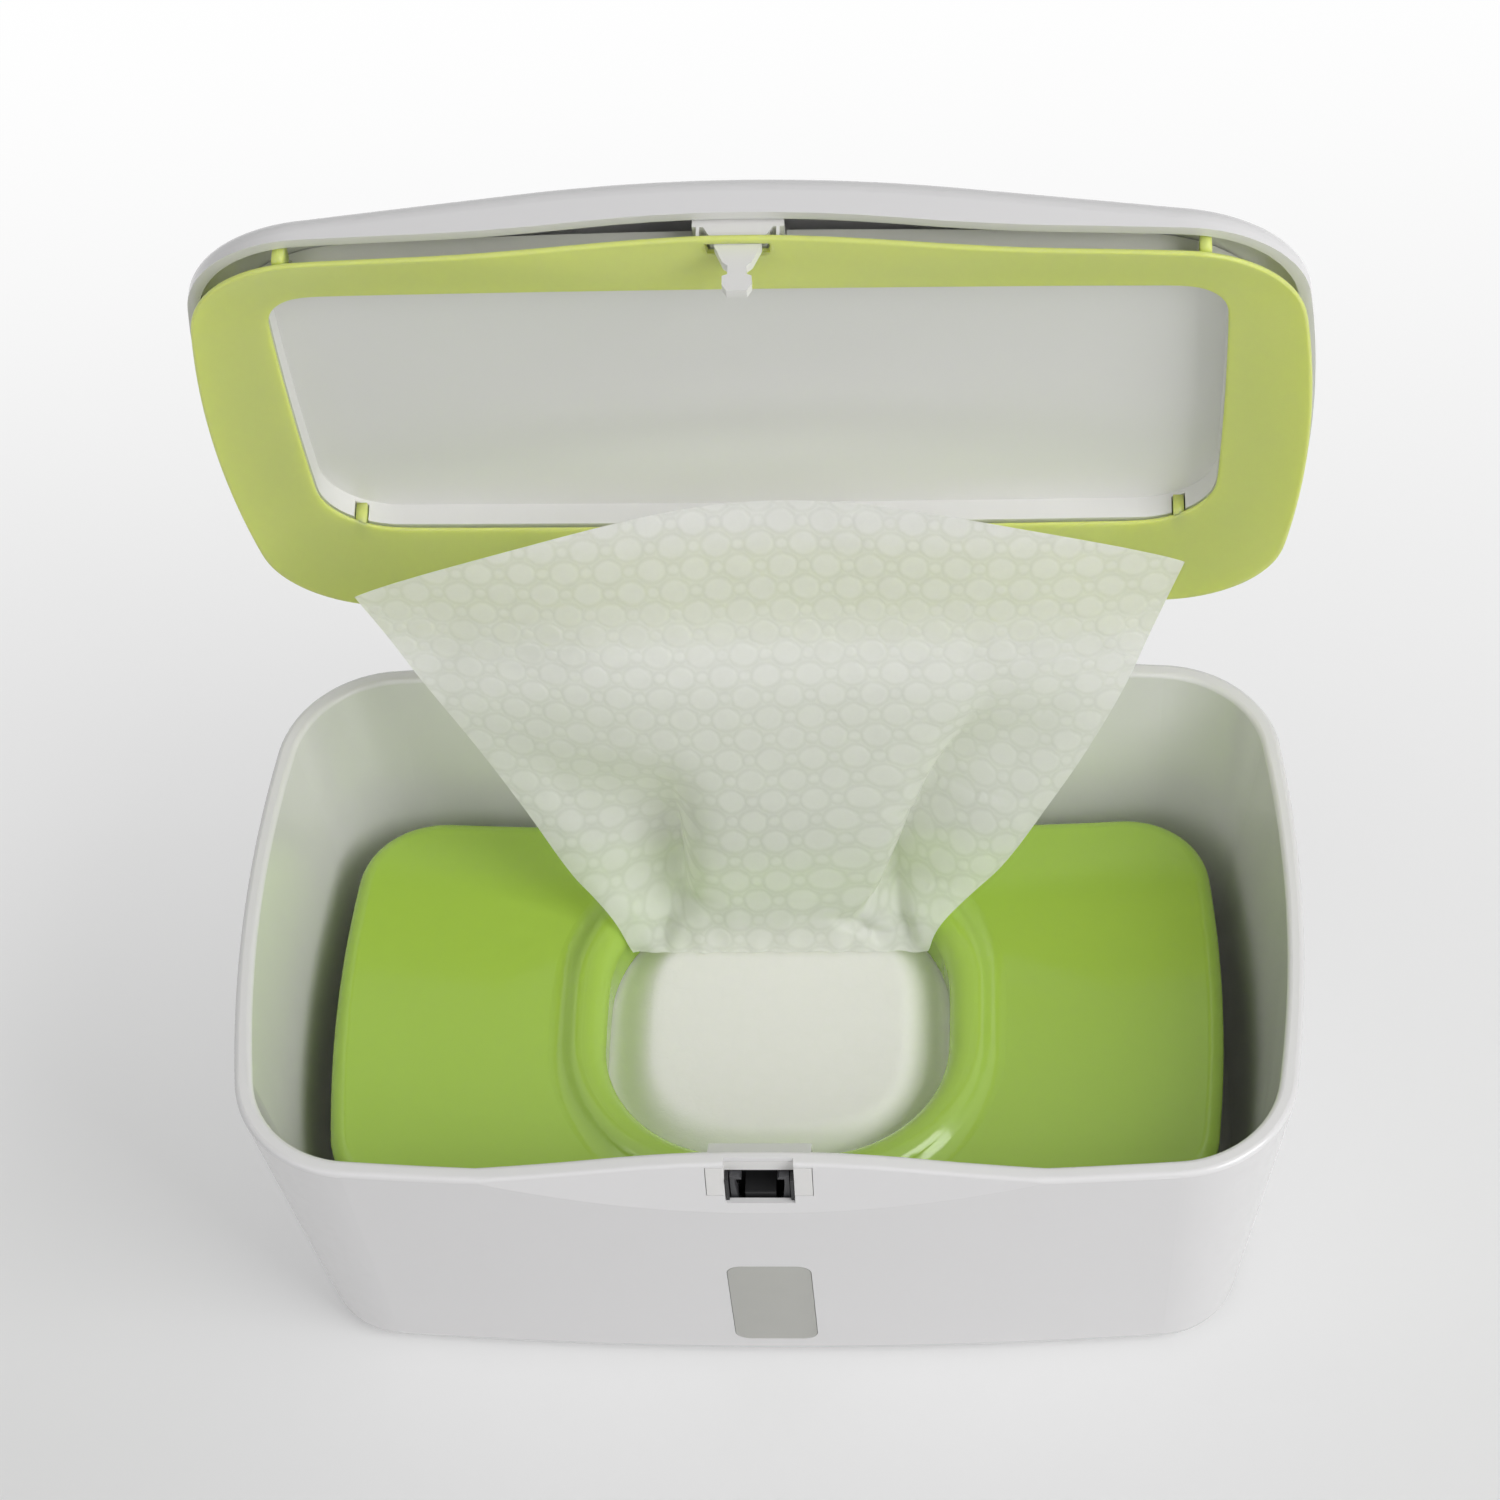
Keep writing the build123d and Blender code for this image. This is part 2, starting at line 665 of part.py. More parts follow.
# Lid shell
with BuildPart() as lid_shell:
    add(lid_prism(lid_half_x, lid_half_y, lid_corner, skirt_z, crown_top + cut_past))
    add(crown_body(0), mode=Mode.INTERSECT)
    top_edges = [
        edge for edge in lid_shell.edges()
        if edge.center().Z > skirt_z + lid_wall and abs(edge.tangent_at(0.5).Z) < 0.5
        and (abs(edge.center().Y) > lid_corner / 4 or abs(edge.center().X) > lid_half_x / 2)
    ]
    fillet(top_edges, lid_top_round)
    with BuildPart(mode=Mode.PRIVATE) as lid_hollow:
        add(lid_prism(lid_half_x - lid_wall, lid_half_y - lid_wall, lid_corner - lid_wall,
                      skirt_z - cut_past, crown_top + cut_past))
        add(crown_body(lid_wall), mode=Mode.INTERSECT)
    add(lid_hollow.part, mode=Mode.SUBTRACT)
    add(arch_zone(skirt_z, skirt_z - cut_past), mode=Mode.SUBTRACT)
    # Arms that carry the lid on its pins
    lid_back_y = lid_half_y - front_bow * (hinge_mid_x / (lid_half_x - side_bow)) ** 2
    arm_root_y = lid_back_y - lid_wall + arm_root
    for side in (-1, 1):
        arm_mid = side * (hinge_mid_x + hinge_gap / 2 - running_gap - arm_width / 2)
        with BuildSketch(Plane.YZ.offset(arm_mid - arm_width / 2)):
            with BuildLine():
                Polyline(
                    (arm_root_y, skirt_z + arm_root),
                    (arm_tail_y, arm_tail_z),
                    (hinge_y, hinge_z), (hinge_y, hinge_z + arm_radius),
                    (arm_root_y, skirt_z + arm_root + arm_root_height), close=True,
                )
            make_face()
            with Locations((hinge_y, hinge_z)):
                Circle(arm_radius)
        extrude(amount=arm_width)
    with BuildSketch(Plane.YZ.offset(-lid_half_x)):
        with Locations((hinge_y, hinge_z)):
            Circle(pin_radius + fit_gap / 2)
    extrude(amount=2 * lid_half_x, mode=Mode.SUBTRACT)
    # Bosses for the screws that hold the inner lid
    boss_points = [(sx * boss_side_x, sy * boss_side_y) for sx in (-1, 1) for sy in (-1, 1)]
    boss_points += [(sx * boss_back_x, boss_back_y) for sx in (-1, 1)]
    with BuildPart(mode=Mode.PRIVATE) as bosses:
        with BuildSketch(Plane.XY.offset(ledge_z + ledge_thickness)):
            with Locations(*boss_points):
                Circle(boss_radius)
        extrude(amount=crown_top)
        add(crown_body(lid_wall / 2), mode=Mode.INTERSECT)
    add(bosses.part)
    with BuildSketch(Plane.XY.offset(ledge_z)):
        with Locations(*boss_points):
            Circle(screw_radius)
    extrude(amount=screw_length, mode=Mode.SUBTRACT)
save_open(lid_shell, "lid_shell")

# Inner lid pan
with BuildPart() as lid_liner:
    add(lid_prism(liner_half_x, liner_half_y, liner_corner, ledge_z, ceiling_z + ceiling_thickness))
    add(crown_body(lid_wall + running_gap), mode=Mode.INTERSECT)
    add(opening_prism(0, ledge_z - cut_past, ceiling_z), mode=Mode.SUBTRACT)
    with BuildPart(mode=Mode.PRIVATE) as channel:
        add(lid_prism(liner_half_x - liner_wall, liner_half_y - liner_wall, liner_corner - liner_wall,
                      ledge_z + ledge_thickness, crown_top))
        add(opening_prism(liner_wall, ledge_z, crown_top + cut_past), mode=Mode.SUBTRACT)
    add(channel.part, mode=Mode.SUBTRACT)
    arch_low_z = gasket_z + gasket_sheet + running_gap
    add(arch_zone(arch_low_z, arch_low_z - cut_past), mode=Mode.SUBTRACT)
    # Notches for the gasket's tabs
    tab_points = [(sx * tab_back_x, tab_back_y) for sx in (-1, 1)]
    tab_points += [(sx * tab_front_x, tab_front_y) for sx in (-1, 1)]
    for tab_x, tab_y in tab_points:
        add(block(tab_x - tab_thickness, tab_x + tab_thickness, tab_y - tab_length,
                  tab_y + tab_length / 2, ledge_z - cut_past, ledge_z + tab_rise + fit_gap),
            mode=Mode.SUBTRACT)
    with BuildSketch(Plane.XY.offset(ledge_z)):
        with Locations(*boss_points):
            Circle(screw_radius + fit_gap)
    extrude(amount=ledge_thickness, mode=Mode.SUBTRACT)
    with BuildSketch(Plane.XY.offset(ledge_z)):
        with Locations(*boss_points):
            Circle(screw_head_radius + fit_gap)
    extrude(amount=screw_head, mode=Mode.SUBTRACT)
    # Gap for the striker's bracket
    bracket_back_y = -liner_half_y + liner_wall
    add(block(-bracket_half - fit_gap, bracket_half + fit_gap, -liner_half_y - cut_past,
              bracket_back_y + fit_gap, ledge_z - cut_past, crown_top), mode=Mode.SUBTRACT)
save_open(lid_liner, "lid_liner")

# Screws of the inner lid, under the gasket
with BuildPart() as liner_screws:
    with BuildSketch(Plane.XY.offset(ledge_z)):
        with Locations(*boss_points):
            Circle(screw_radius - fit_gap / 2)
    extrude(amount=screw_length - 1)
    with BuildSketch(Plane.XY.offset(ledge_z)):
        with Locations(*boss_points):
            Circle(screw_head_radius)
    extrude(amount=screw_head)
save_open(liner_screws, "liner_screws")

# Gasket, a dished frame with a lip that lands on the tub's rim
gasket_inner_z = gasket_z + gasket_dish
gasket_middle_y = (opening_front_y + opening_back_y) / 2


def gasket_mouth():
    """The gasket's outline where its dish ends, about the mouth of the inner lid."""
    half_y = (opening_back_y - opening_front_y) / 2
    with BuildSketch() as mouth:
        with Locations((0, gasket_middle_y)):
            add(bowed_outline(opening_half_x, half_y, gasket_mouth_corner, opening_bow, opening_bow))
    return mouth.sketch


with BuildPart() as lid_gasket:
    with BuildPart(mode=Mode.PRIVATE) as upper:
        with BuildSketch(Plane.XY.offset(gasket_z)):
            add(bowed_outline(gasket_half_x, gasket_half_y, gasket_corner, side_bow, front_bow))
        with BuildSketch(Plane.XY.offset(gasket_z + gasket_sheet)):
            add(bowed_outline(gasket_half_x, gasket_half_y, gasket_corner, side_bow, front_bow))
        loft(ruled=True)
        with BuildSketch(Plane.XY.offset(gasket_z + gasket_sheet)):
            add(bowed_outline(gasket_half_x, gasket_half_y, gasket_corner, side_bow, front_bow))
        with BuildSketch(Plane.XY.offset(gasket_inner_z + gasket_sheet)):
            add(gasket_mouth())
        loft(ruled=True)
    with BuildPart(mode=Mode.PRIVATE) as lower:
        with BuildSketch(Plane.XY.offset(gasket_z)):
            add(bowed_outline(gasket_half_x - gasket_lip, gasket_half_y - gasket_lip,
                              gasket_corner - gasket_lip, side_bow, front_bow))
        with BuildSketch(Plane.XY.offset(gasket_inner_z)):
            add(gasket_mouth())
        loft(ruled=True)
    add(upper.part)
    add(lower.part, mode=Mode.SUBTRACT)
    add(opening_prism(0, gasket_z - cut_past, gasket_inner_z + cut_past), mode=Mode.SUBTRACT)
    add(arch_zone(gasket_z, gasket_z - cut_past), mode=Mode.SUBTRACT)
    with BuildPart(mode=Mode.PRIVATE) as raised_band:
        add(arch_zone(gasket_z, gasket_z + 2 * cut_past))
        add(arch_zone(gasket_z + gasket_sheet, gasket_z + 3 * cut_past), mode=Mode.SUBTRACT)
        add(block(-arch_half, arch_half, opening_front_y, -lid_half_y, gasket_z - 1,
                  gasket_z + 2 * cut_past), mode=Mode.INTERSECT)
        add(lid_prism(gasket_half_x, gasket_half_y, gasket_corner, gasket_z - 1,
                      gasket_z + 2 * cut_past), mode=Mode.INTERSECT)
    add(raised_band.part)
    for tab_x, tab_y in tab_points:
        tab_low_z = gasket_inner_z if tab_y > 0 else gasket_z + gasket_dish / 2
        add(block(tab_x - tab_thickness / 2, tab_x + tab_thickness / 2, tab_y - tab_length + 1,
                  tab_y + 1, tab_low_z + running_gap, ledge_z + tab_rise))
    striker_gap = striker_shoulder + striker_flange + running_gap
    add(block(-striker_gap, striker_gap, striker_y - striker_depth / 2 - running_gap,
              striker_y + striker_depth / 2 + running_gap, gasket_z - cut_past,
              gasket_z + 2 * cut_past), mode=Mode.SUBTRACT)
save_open(lid_gasket, "lid_gasket")

# Striker, an arrow that enters the latch
striker_flare_z = striker_neck_top_z + striker_waist_rise
with BuildPart() as striker:
    with BuildSketch(Plane.XZ.offset(-striker_y - striker_depth / 2)):
        with BuildLine():
            Polyline(
                (0, striker_tip_z), (striker_tip_half, striker_tip_z),
                (striker_waist, striker_tip_z + striker_tip_rise), (striker_waist, striker_head_top_z),
                (striker_neck, striker_head_top_z + striker_barb), (striker_neck, striker_neck_top_z),
                (striker_waist, striker_flare_z),
                (striker_shoulder, striker_base_z - striker_shoulder_height),
                (striker_shoulder, striker_base_z), (0, striker_base_z), close=True,
            )
        make_face()
        mirror(about=Plane.YZ)
    extrude(amount=striker_depth)
    add(block(-striker_shoulder - striker_flange, striker_shoulder + striker_flange,
              striker_y - striker_depth / 2, striker_y + striker_depth / 2,
              striker_base_z, striker_base_z + striker_flange_height))
save_open(striker, "striker")

# Bracket that holds the striker in the lid
with BuildPart() as striker_bracket:
    with BuildSketch(Plane.XZ.offset(-bracket_back_y)):
        with BuildLine():
            Polyline(
                (0, bracket_low_z), (bracket_foot_half, bracket_low_z),
                (bracket_waist_half, bracket_bar_z), (bracket_half, bracket_bar_z),
                (bracket_half, bracket_top_z), (0, bracket_top_z), close=True,
            )
        make_face()
        with Locations((bracket_post_x, (bracket_low_z + bracket_bar_z) / 2)):
            Rectangle(bracket_post, bracket_bar_z - bracket_low_z)
        mirror(about=Plane.YZ)
    extrude(amount=bracket_back_y - bracket_front_y)
    slot = striker_shoulder + striker_flange + fit_gap
    add(block(-slot, slot, striker_y - striker_depth / 2 - fit_gap,
              striker_y + striker_depth / 2 + fit_gap, bracket_low_z - cut_past,
              striker_base_z + striker_flange_height + fit_gap), mode=Mode.SUBTRACT)
save_open(striker_bracket, "striker_bracket")

# Latch frame, two wings beside the recess and a bar behind it
with BuildPart() as latch_bezel:
    add(block(-bezel_half, bezel_half, housing_low_front_y - fit_gap, -rim_half_y,
              bezel_low_z, bezel_top_z))
    add(block(-bezel_half, bezel_half, recess_back_y + bezel_bar, -rim_half_y,
              bar_low_z + fit_gap, bezel_top_z))
    add(scoop_prism(0, scoop_half), mode=Mode.SUBTRACT)
    add(block(-recess_half, recess_half, recess_back_y, -rim_half_y, recess_low_z, scoop_top_z),
        mode=Mode.SUBTRACT)
label_and_save(latch_bezel, "latch_bezel")

# Latch housing
with BuildPart() as latch_housing:
    add(block(-housing_half, housing_half, housing_back_y, housing_low_front_y,
              housing_low_z, housing_top_z))
    add(block(-housing_half, housing_half, housing_back_y, housing_mid_front_y,
              housing_step_z, recess_low_z - fit_gap))
    add(block(-recess_half + fit_gap, recess_half - fit_gap, housing_low_front_y,
              housing_top_front_y, recess_low_z + fit_gap, housing_top_z))
    add(block(-throat_half, throat_half, slider_back_y + fit_gap, -rim_half_y,
              housing_step_z + fit_gap, scoop_top_z), mode=Mode.SUBTRACT)
    add(block(-slider_half - fit_gap, slider_half + fit_gap, slider_back_y + fit_gap,
              housing_low_front_y + housing_wall / 2, housing_low_z + housing_wall, housing_top_z),
        mode=Mode.SUBTRACT)
    for side in (-1, 1):
        with BuildSketch(Plane.XZ.offset(-slider_back_y - jaw_pin_seat)):
            with Locations((side * jaw_pivot_x, jaw_pivot_z)):
                Circle(jaw_pin_radius)
        extrude(amount=2 * jaw_pin_seat, mode=Mode.SUBTRACT)
label_and_save(latch_housing, "latch_housing")

# Latch slider
latch_spring_y = (slider_back_y + fit_gap + housing_low_front_y + housing_wall / 2) / 2
with BuildPart() as latch_slider:
    add(block(-slider_half, slider_half, slider_back_y, housing_low_front_y + housing_wall / 2 + fit_gap,
              slider_low_z, slider_top_z))
    add(block(-slider_half, slider_half, slider_back_y, slider_front_y,
              housing_step_z + slider_travel + 2 * fit_gap, slider_top_z))
    with BuildSketch(Plane.XY.offset(slider_low_z)):
        with Locations((0, latch_spring_y)):
            Circle(latch_coil_radius - latch_wire)
    extrude(amount=-slider_travel / 2)
label_and_save(latch_slider, "latch_slider")

# Latch jaws and their pins
for side, side_name in ((-1, "left"), (1, "right")):
    with BuildPart() as latch_jaw:
        with BuildSketch(Plane.XZ.offset(-jaw_back_y)):
            with BuildLine():
                Polyline(
                    (side * (jaw_pivot_x - jaw_foot), jaw_pivot_z),
                    (side * jaw_inner_x, jaw_hook_z - jaw_hook_height),
                    (side * jaw_inner_x, jaw_hook_z), (side * jaw_hook_x, jaw_hook_z),
                    (side * (jaw_hook_x + jaw_hook_bevel), jaw_top_z), (side * jaw_outer_x, jaw_top_z),
                    (side * jaw_outer_x, jaw_pivot_z), close=True,
                )
            make_face()
            with Locations((side * jaw_pivot_x, jaw_pivot_z)):
                Circle(jaw_foot_radius)
                Circle(jaw_pin_radius + fit_gap / 2, mode=Mode.SUBTRACT)
        extrude(amount=jaw_back_y - jaw_front_y)
    label_and_save(latch_jaw, f"latch_jaw_{side_name}")

with BuildPart() as jaw_pins:
    for side in (-1, 1):
        with BuildSketch(Plane.XZ.offset(-slider_back_y - jaw_pin_seat)):
            with Locations((side * jaw_pivot_x, jaw_pivot_z)):
                Circle(jaw_pin_radius - fit_gap / 4)
        extrude(amount=slider_back_y + jaw_pin_seat - jaw_front_y)
label_and_save(jaw_pins, "jaw_pins")

# Latch spring
with BuildPart() as latch_spring:
    spring_floor = housing_low_z + housing_wall
    latch_coil = coil_spring("latch_spring", latch_coil_radius, latch_wire, latch_coil_turns,
                             slider_low_z - spring_floor)
    add(latch_coil.moved(Location((0, latch_spring_y, spring_floor))))
label_and_save(latch_spring, "latch_spring")


def plate_prism(inset, low_z, high_z):
    """The plate's outline between two heights, drawn in by an inset."""
    with BuildPart() as prism:
        with BuildSketch(Plane.XY.offset(low_z)):
            add(bowed_outline(plate_half_x - inset, plate_half_y - inset, plate_corner - inset,
                              plate_bow_x, plate_bow_y))
        extrude(amount=high_z - low_z)
    return prism.part


def slot_outline(grow):
    """The wipe slot's outline, grown all round."""
    return bowed_outline(slot_half_x + grow, slot_half_y + grow, slot_corner + grow, slot_bow, slot_bow)


def slot_prism(grow, low_z, high_z):
    """The wipe slot between two heights, grown all round."""
    with BuildPart() as prism:
        with BuildSketch(Plane.XY.offset(low_z)):
            add(slot_outline(grow))
        extrude(amount=high_z - low_z)
    return prism.part


def dish_cut(lower_by):
    """The space over the plate's dished top."""
    axis_z = plate_top_z + plate_dish_radius - plate_dish_radius * (
        1 - math.cos(math.asin(plate_half_x / plate_dish_radius)))
    with BuildPart() as dish:
        with BuildSketch(Plane.XZ):
            with Locations((0, axis_z - lower_by)):
                Circle(plate_dish_radius)
        extrude(amount=rim_half_y, both=True)
    return dish.part


# Plate top, a dished green cover with a collar round the slot
with BuildPart() as plate_top:
    add(plate_prism(0, plate_low_z, plate_top_z + 1))
    add(dish_cut(0), mode=Mode.SUBTRACT)
    rim_edges = [
        edge for edge in plate_top.edges()
        if edge.center().Z > plate_low_z + plate_wall and abs(edge.tangent_at(0.5).Z) < 0.5
    ]
    fillet(rim_edges, plate_round)
    with BuildPart(mode=Mode.PRIVATE) as collar:
        with BuildSketch(Plane.XY.offset(collar_foot_z)):
            add(slot_outline(collar_foot_width))
        with BuildSketch(Plane.XY.offset(collar_top_z)):
            add(slot_outline(collar_width))
        loft(ruled=True)
    add(collar.part)
    foot_edges = [
        edge for edge in plate_top.edges()
        if collar_foot_z < edge.center().Z < collar_top_z - plate_round / 2
        and abs(edge.center().X) < slot_half_x + collar_foot_width
        and abs(edge.center().Y) < slot_half_y + collar_foot_width
        and abs(edge.tangent_at(0.5).Z) < 0.5
    ]
    fillet(foot_edges, collar_blend)
    crest_edges = [
        edge for edge in plate_top.edges()
        if abs(edge.center().Z - collar_top_z) < fit_gap and edge.length > collar_width / 2
    ]
    fillet(crest_edges, collar_round)
    with BuildPart(mode=Mode.PRIVATE) as plate_hollow:
        add(plate_prism(plate_wall, plate_low_z - 1, plate_top_z))
        add(dish_cut(plate_cover), mode=Mode.SUBTRACT)
        add(slot_prism(plate_wall, plate_low_z - 1, plate_top_z), mode=Mode.SUBTRACT)
    add(plate_hollow.part, mode=Mode.SUBTRACT)
    add(slot_prism(0, plate_low_z - 1, plate_top_z + 1), mode=Mode.SUBTRACT)
    mouth_edges = [
        edge for edge in plate_top.edges()
        if abs(edge.center().Z - collar_top_z) < running_gap and abs(edge.tangent_at(0.5).Z) < 0.5
        and abs(edge.center().X) < slot_half_x + 1 and abs(edge.center().Y) < slot_half_y + 1
    ]
    fillet(mouth_edges, collar_round)
label_and_save(plate_top, "plate_top")

# Steel weight inside the plate
weight_low_z = plate_low_z + plate_base_thickness + running_gap
with BuildPart() as plate_weight:
    add(plate_prism(plate_wall + weight_inset, weight_low_z, weight_low_z + weight_thickness))
    add(slot_prism(weight_slot_margin, weight_low_z - 1, weight_low_z + weight_thickness + 1),
        mode=Mode.SUBTRACT)
label_and_save(plate_weight, "plate_weight")

# Bottom cover of the plate
with BuildPart() as plate_base:
    add(plate_prism(plate_wall + fit_gap, plate_low_z, plate_low_z + plate_base_thickness))
    add(slot_prism(plate_wall + fit_gap, plate_low_z - 1, plate_low_z + plate_base_thickness + 1),
        mode=Mode.SUBTRACT)
label_and_save(plate_base, "plate_base")

# Stack of moist wipes, bulging into the slot
stack_low_z = foot_proud + tub_floor + running_gap
with BuildPart() as wipe_stack:
    with BuildSketch(Plane.XY.offset(stack_low_z)):
        RectangleRounded(2 * stack_half_x, 2 * stack_half_y, stack_corner)
    extrude(amount=stack_top_z - stack_low_z)
    fillet(wipe_stack.faces().sort_by(Axis.Z)[-1].edges(), stack_round)
    with BuildPart(mode=Mode.PRIVATE) as mound:
        with BuildSketch(Plane.XY.offset(stack_top_z - 2)):
            RectangleRounded(2 * mound_half_x, 2 * mound_half_y, mound_corner)
        extrude(amount=mound_top_z - stack_top_z + 2)
        fillet(mound.faces().sort_by(Axis.Z)[-1].edges(), mound_round)
    add(mound.part)
label_and_save(wipe_stack, "wipe_stack")

# The wipe pulled up through the slot, a fan gathered into folds at its foot
fold_sections = [
    (wipe_low_z, wipe_foot_half + wipe_foot_spread, wipe_foot_swing),
    (wipe_mid_z, wipe_mid_half, wipe_mid_swing),
    (wipe_fan_z, wipe_fan_half, wipe_fan_swing),
    (wipe_crest_z + cut_past, wipe_top_half, wipe_top_swing),
]
with BuildPart() as pulled_wipe:
    for section_z, half_width, swing in fold_sections:
        middle_y = wipe_foot_y + (section_z - wipe_low_z) * wipe_lean
        step = 2 * half_width / wipe_folds
        with BuildSketch(Plane.XY.offset(section_z)):
            with BuildLine():
                for depth in (0, wipe_thickness):
                    for fold in range(wipe_folds):
                        start_x = -half_width + fold * step
                        sway = swing if fold % 2 else -swing
                        ThreePointArc(
                            (start_x, middle_y + depth),
                            (start_x + step / 2, middle_y + depth + sway),
                            (start_x + step, middle_y + depth),
                        )
                for end_x in (-half_width, half_width):
                    Line((end_x, middle_y), (end_x, middle_y + wipe_thickness))
            make_face()
    loft(ruled=True)
    with BuildPart(mode=Mode.PRIVATE) as wipe_outline:
        with BuildSketch(Plane.XZ):
            with BuildLine():
                Polyline(
                    (-wipe_waist_half, wipe_waist_z), (-wipe_foot_half, wipe_low_z),
                    (wipe_foot_half, wipe_low_z), (wipe_waist_half, wipe_waist_z),
                )
                ThreePointArc(
                    (wipe_waist_half, wipe_waist_z), (wipe_side_right_x, wipe_side_z),
                    (wipe_right_x, wipe_right_z),
                )
                ThreePointArc(
                    (wipe_right_x, wipe_right_z), (wipe_crest_x, wipe_crest_z),
                    (wipe_left_x, wipe_left_z),
                )
                ThreePointArc(
                    (wipe_left_x, wipe_left_z), (wipe_side_left_x, wipe_side_z),
                    (-wipe_waist_half, wipe_waist_z),
                )
            make_face()
        extrude(amount=rim_half_y, both=True)
    add(wipe_outline.part, mode=Mode.INTERSECT)
label_and_save(pulled_wipe, "pulled_wipe")
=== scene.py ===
"""A wipes dispenser with its lid open and one moist wipe drawn up through the weighted plate."""
import json
import math
from collections import namedtuple

import bpy
import numpy as np
from mathutils import Matrix, Vector


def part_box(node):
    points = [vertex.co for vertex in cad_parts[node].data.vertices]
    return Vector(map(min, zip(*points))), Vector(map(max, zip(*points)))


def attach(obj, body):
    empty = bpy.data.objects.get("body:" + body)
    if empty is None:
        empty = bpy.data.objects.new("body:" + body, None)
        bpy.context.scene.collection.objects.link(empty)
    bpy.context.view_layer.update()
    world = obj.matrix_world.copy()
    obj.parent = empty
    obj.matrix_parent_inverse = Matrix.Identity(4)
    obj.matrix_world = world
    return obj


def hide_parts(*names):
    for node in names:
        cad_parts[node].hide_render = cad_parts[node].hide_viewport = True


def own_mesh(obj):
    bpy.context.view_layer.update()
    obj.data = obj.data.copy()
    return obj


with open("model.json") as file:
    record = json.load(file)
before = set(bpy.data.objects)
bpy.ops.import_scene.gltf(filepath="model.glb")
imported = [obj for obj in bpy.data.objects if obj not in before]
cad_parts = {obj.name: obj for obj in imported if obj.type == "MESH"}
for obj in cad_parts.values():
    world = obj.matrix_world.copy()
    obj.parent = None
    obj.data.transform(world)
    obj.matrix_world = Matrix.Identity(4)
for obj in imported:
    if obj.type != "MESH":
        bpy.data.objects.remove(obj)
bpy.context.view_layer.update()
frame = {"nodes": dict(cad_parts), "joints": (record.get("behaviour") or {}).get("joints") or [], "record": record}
nodes = frame["nodes"]

# Camera, fitted to the rim, base and gasket in the photograph
CAMERA_PLACE = (0.0526, -0.5305, 0.7947)
CAMERA_YAW = -0.101
CAMERA_PITCH = 0.8911
CAMERA_ROLL = -0.0850
SENSOR = 36.0
FOCAL_SHARE = 2.8391

# Hinge of the lid, and how far it stands open
HINGE = next(joint for joint in frame["joints"] if joint["name"] == "lid_hinge")
HINGE_Y, HINGE_Z = HINGE["pos_m"][1], HINGE["pos_m"][2]
OPEN_ANGLE = math.radians(HINGE["range_deg"][1])

# Gasket, measured with the lid closed
GASKET_HALF = (0.1108, 0.0688)
GASKET_CORNER = 0.0256
GASKET_BOW = (0.0062, 0.0044)
GASKET_Z = 0.0823
GASKET_DISH = 0.0021
GASKET_SHEET = 0.0010
# The arch at the front: its half width and height, how far forward it starts and is full,
# and how much of it is lost from a share of the way in up to the mouth
ARCH_HALF = 0.062
ARCH_RISE = 0.003
ARCH_FORWARD = (0.02, 0.05)
ARCH_LOSS = 0.75
ARCH_LOSS_FROM = 0.4
MOUTH_FRONT_Y = -0.0525
MOUTH_BACK_Y = 0.0375
MOUTH_HALF = 0.0935
MOUTH_BOW = 0.0008
MOUTH_FRONT_CORNER = 0.009
MOUTH_BACK_CORNER = 0.016
MOUTH_STEP = 0.002
STRIKER_Y = -0.0655
STRIKER_GAP = (0.0064, 0.0015)
# Tabs, each pair's place to the right; the front pair stands where the dish is a little shallower
TABS = ((0.0858, 0.0370), (0.0880, -0.0612))
TAB_HALF = (0.0011, 0.0030)
TAB_TOP_Z = 0.0896
FRONT_TAB_DISH = 0.8


class Wire:
    """A socket in a material's node tree. Arithmetic on it adds Math nodes."""

    def __init__(self, tree, socket=None):
        self.tree = tree
        self.socket = socket

    def node(self, kind, settings=None, values=None, output=0):
        """Adds a node: its settings first, then its sockets' values or links."""
        made = self.tree.nodes.new(kind)
        for name, setting in (settings or {}).items():
            if name == "stops":
                self.set_stops(made.color_ramp, setting)
            else:
                setattr(made, name, setting)
        for key, value in (values or {}).items():
            if isinstance(value, Wire):
                self.tree.links.new(value.socket, made.inputs[key])
            else:
                made.inputs[key].default_value = value
        return Wire(self.tree, made.outputs[output] if len(made.outputs) else None)

    @staticmethod
    def set_stops(ramp, stops):
        """Sets a ramp's stops, each a position and a grey level or a colour."""
        while len(ramp.elements) < len(stops):
            ramp.elements.new(1.0)
        for element, (position, level) in zip(ramp.elements, stops):
            element.position = position
            element.color = (level, level, level, 1) if isinstance(level, float) else (*level, 1)

    def math(self, operation, *others):
        """A Math node of this wire and the others."""
        values = dict(enumerate((self, *others)))
        return self.node("ShaderNodeMath", {"operation": operation}, values)

    def __add__(self, other):
        return self.math("ADD", other)

    __radd__ = __add__

    def __mul__(self, other):
        return self.math("MULTIPLY", other)

    __rmul__ = __mul__

    def __sub__(self, other):
        return self.math("SUBTRACT", other)

    def __rsub__(self, other):
        return (self * -1.0) + other

    def __truediv__(self, other):
        return self.math("DIVIDE", other)

    def between(self, low, high):
        """0 below low and 1 above high, with a smooth rise between."""
        settings = {"interpolation_type": "SMOOTHSTEP"}
        return self.node("ShaderNodeMapRange", settings, {"Value": self, "From Min": low, "From Max": high})


def mix(share, first, second):
    """A colour between two colours."""
    settings = {"data_type": "RGBA"}
    return share.node("ShaderNodeMix", settings, {0: share, 6: first, 7: second}, output=2)


def colour(red, green, blue):
    """A colour with full alpha, for a socket."""
    return (red, green, blue, 1.0)


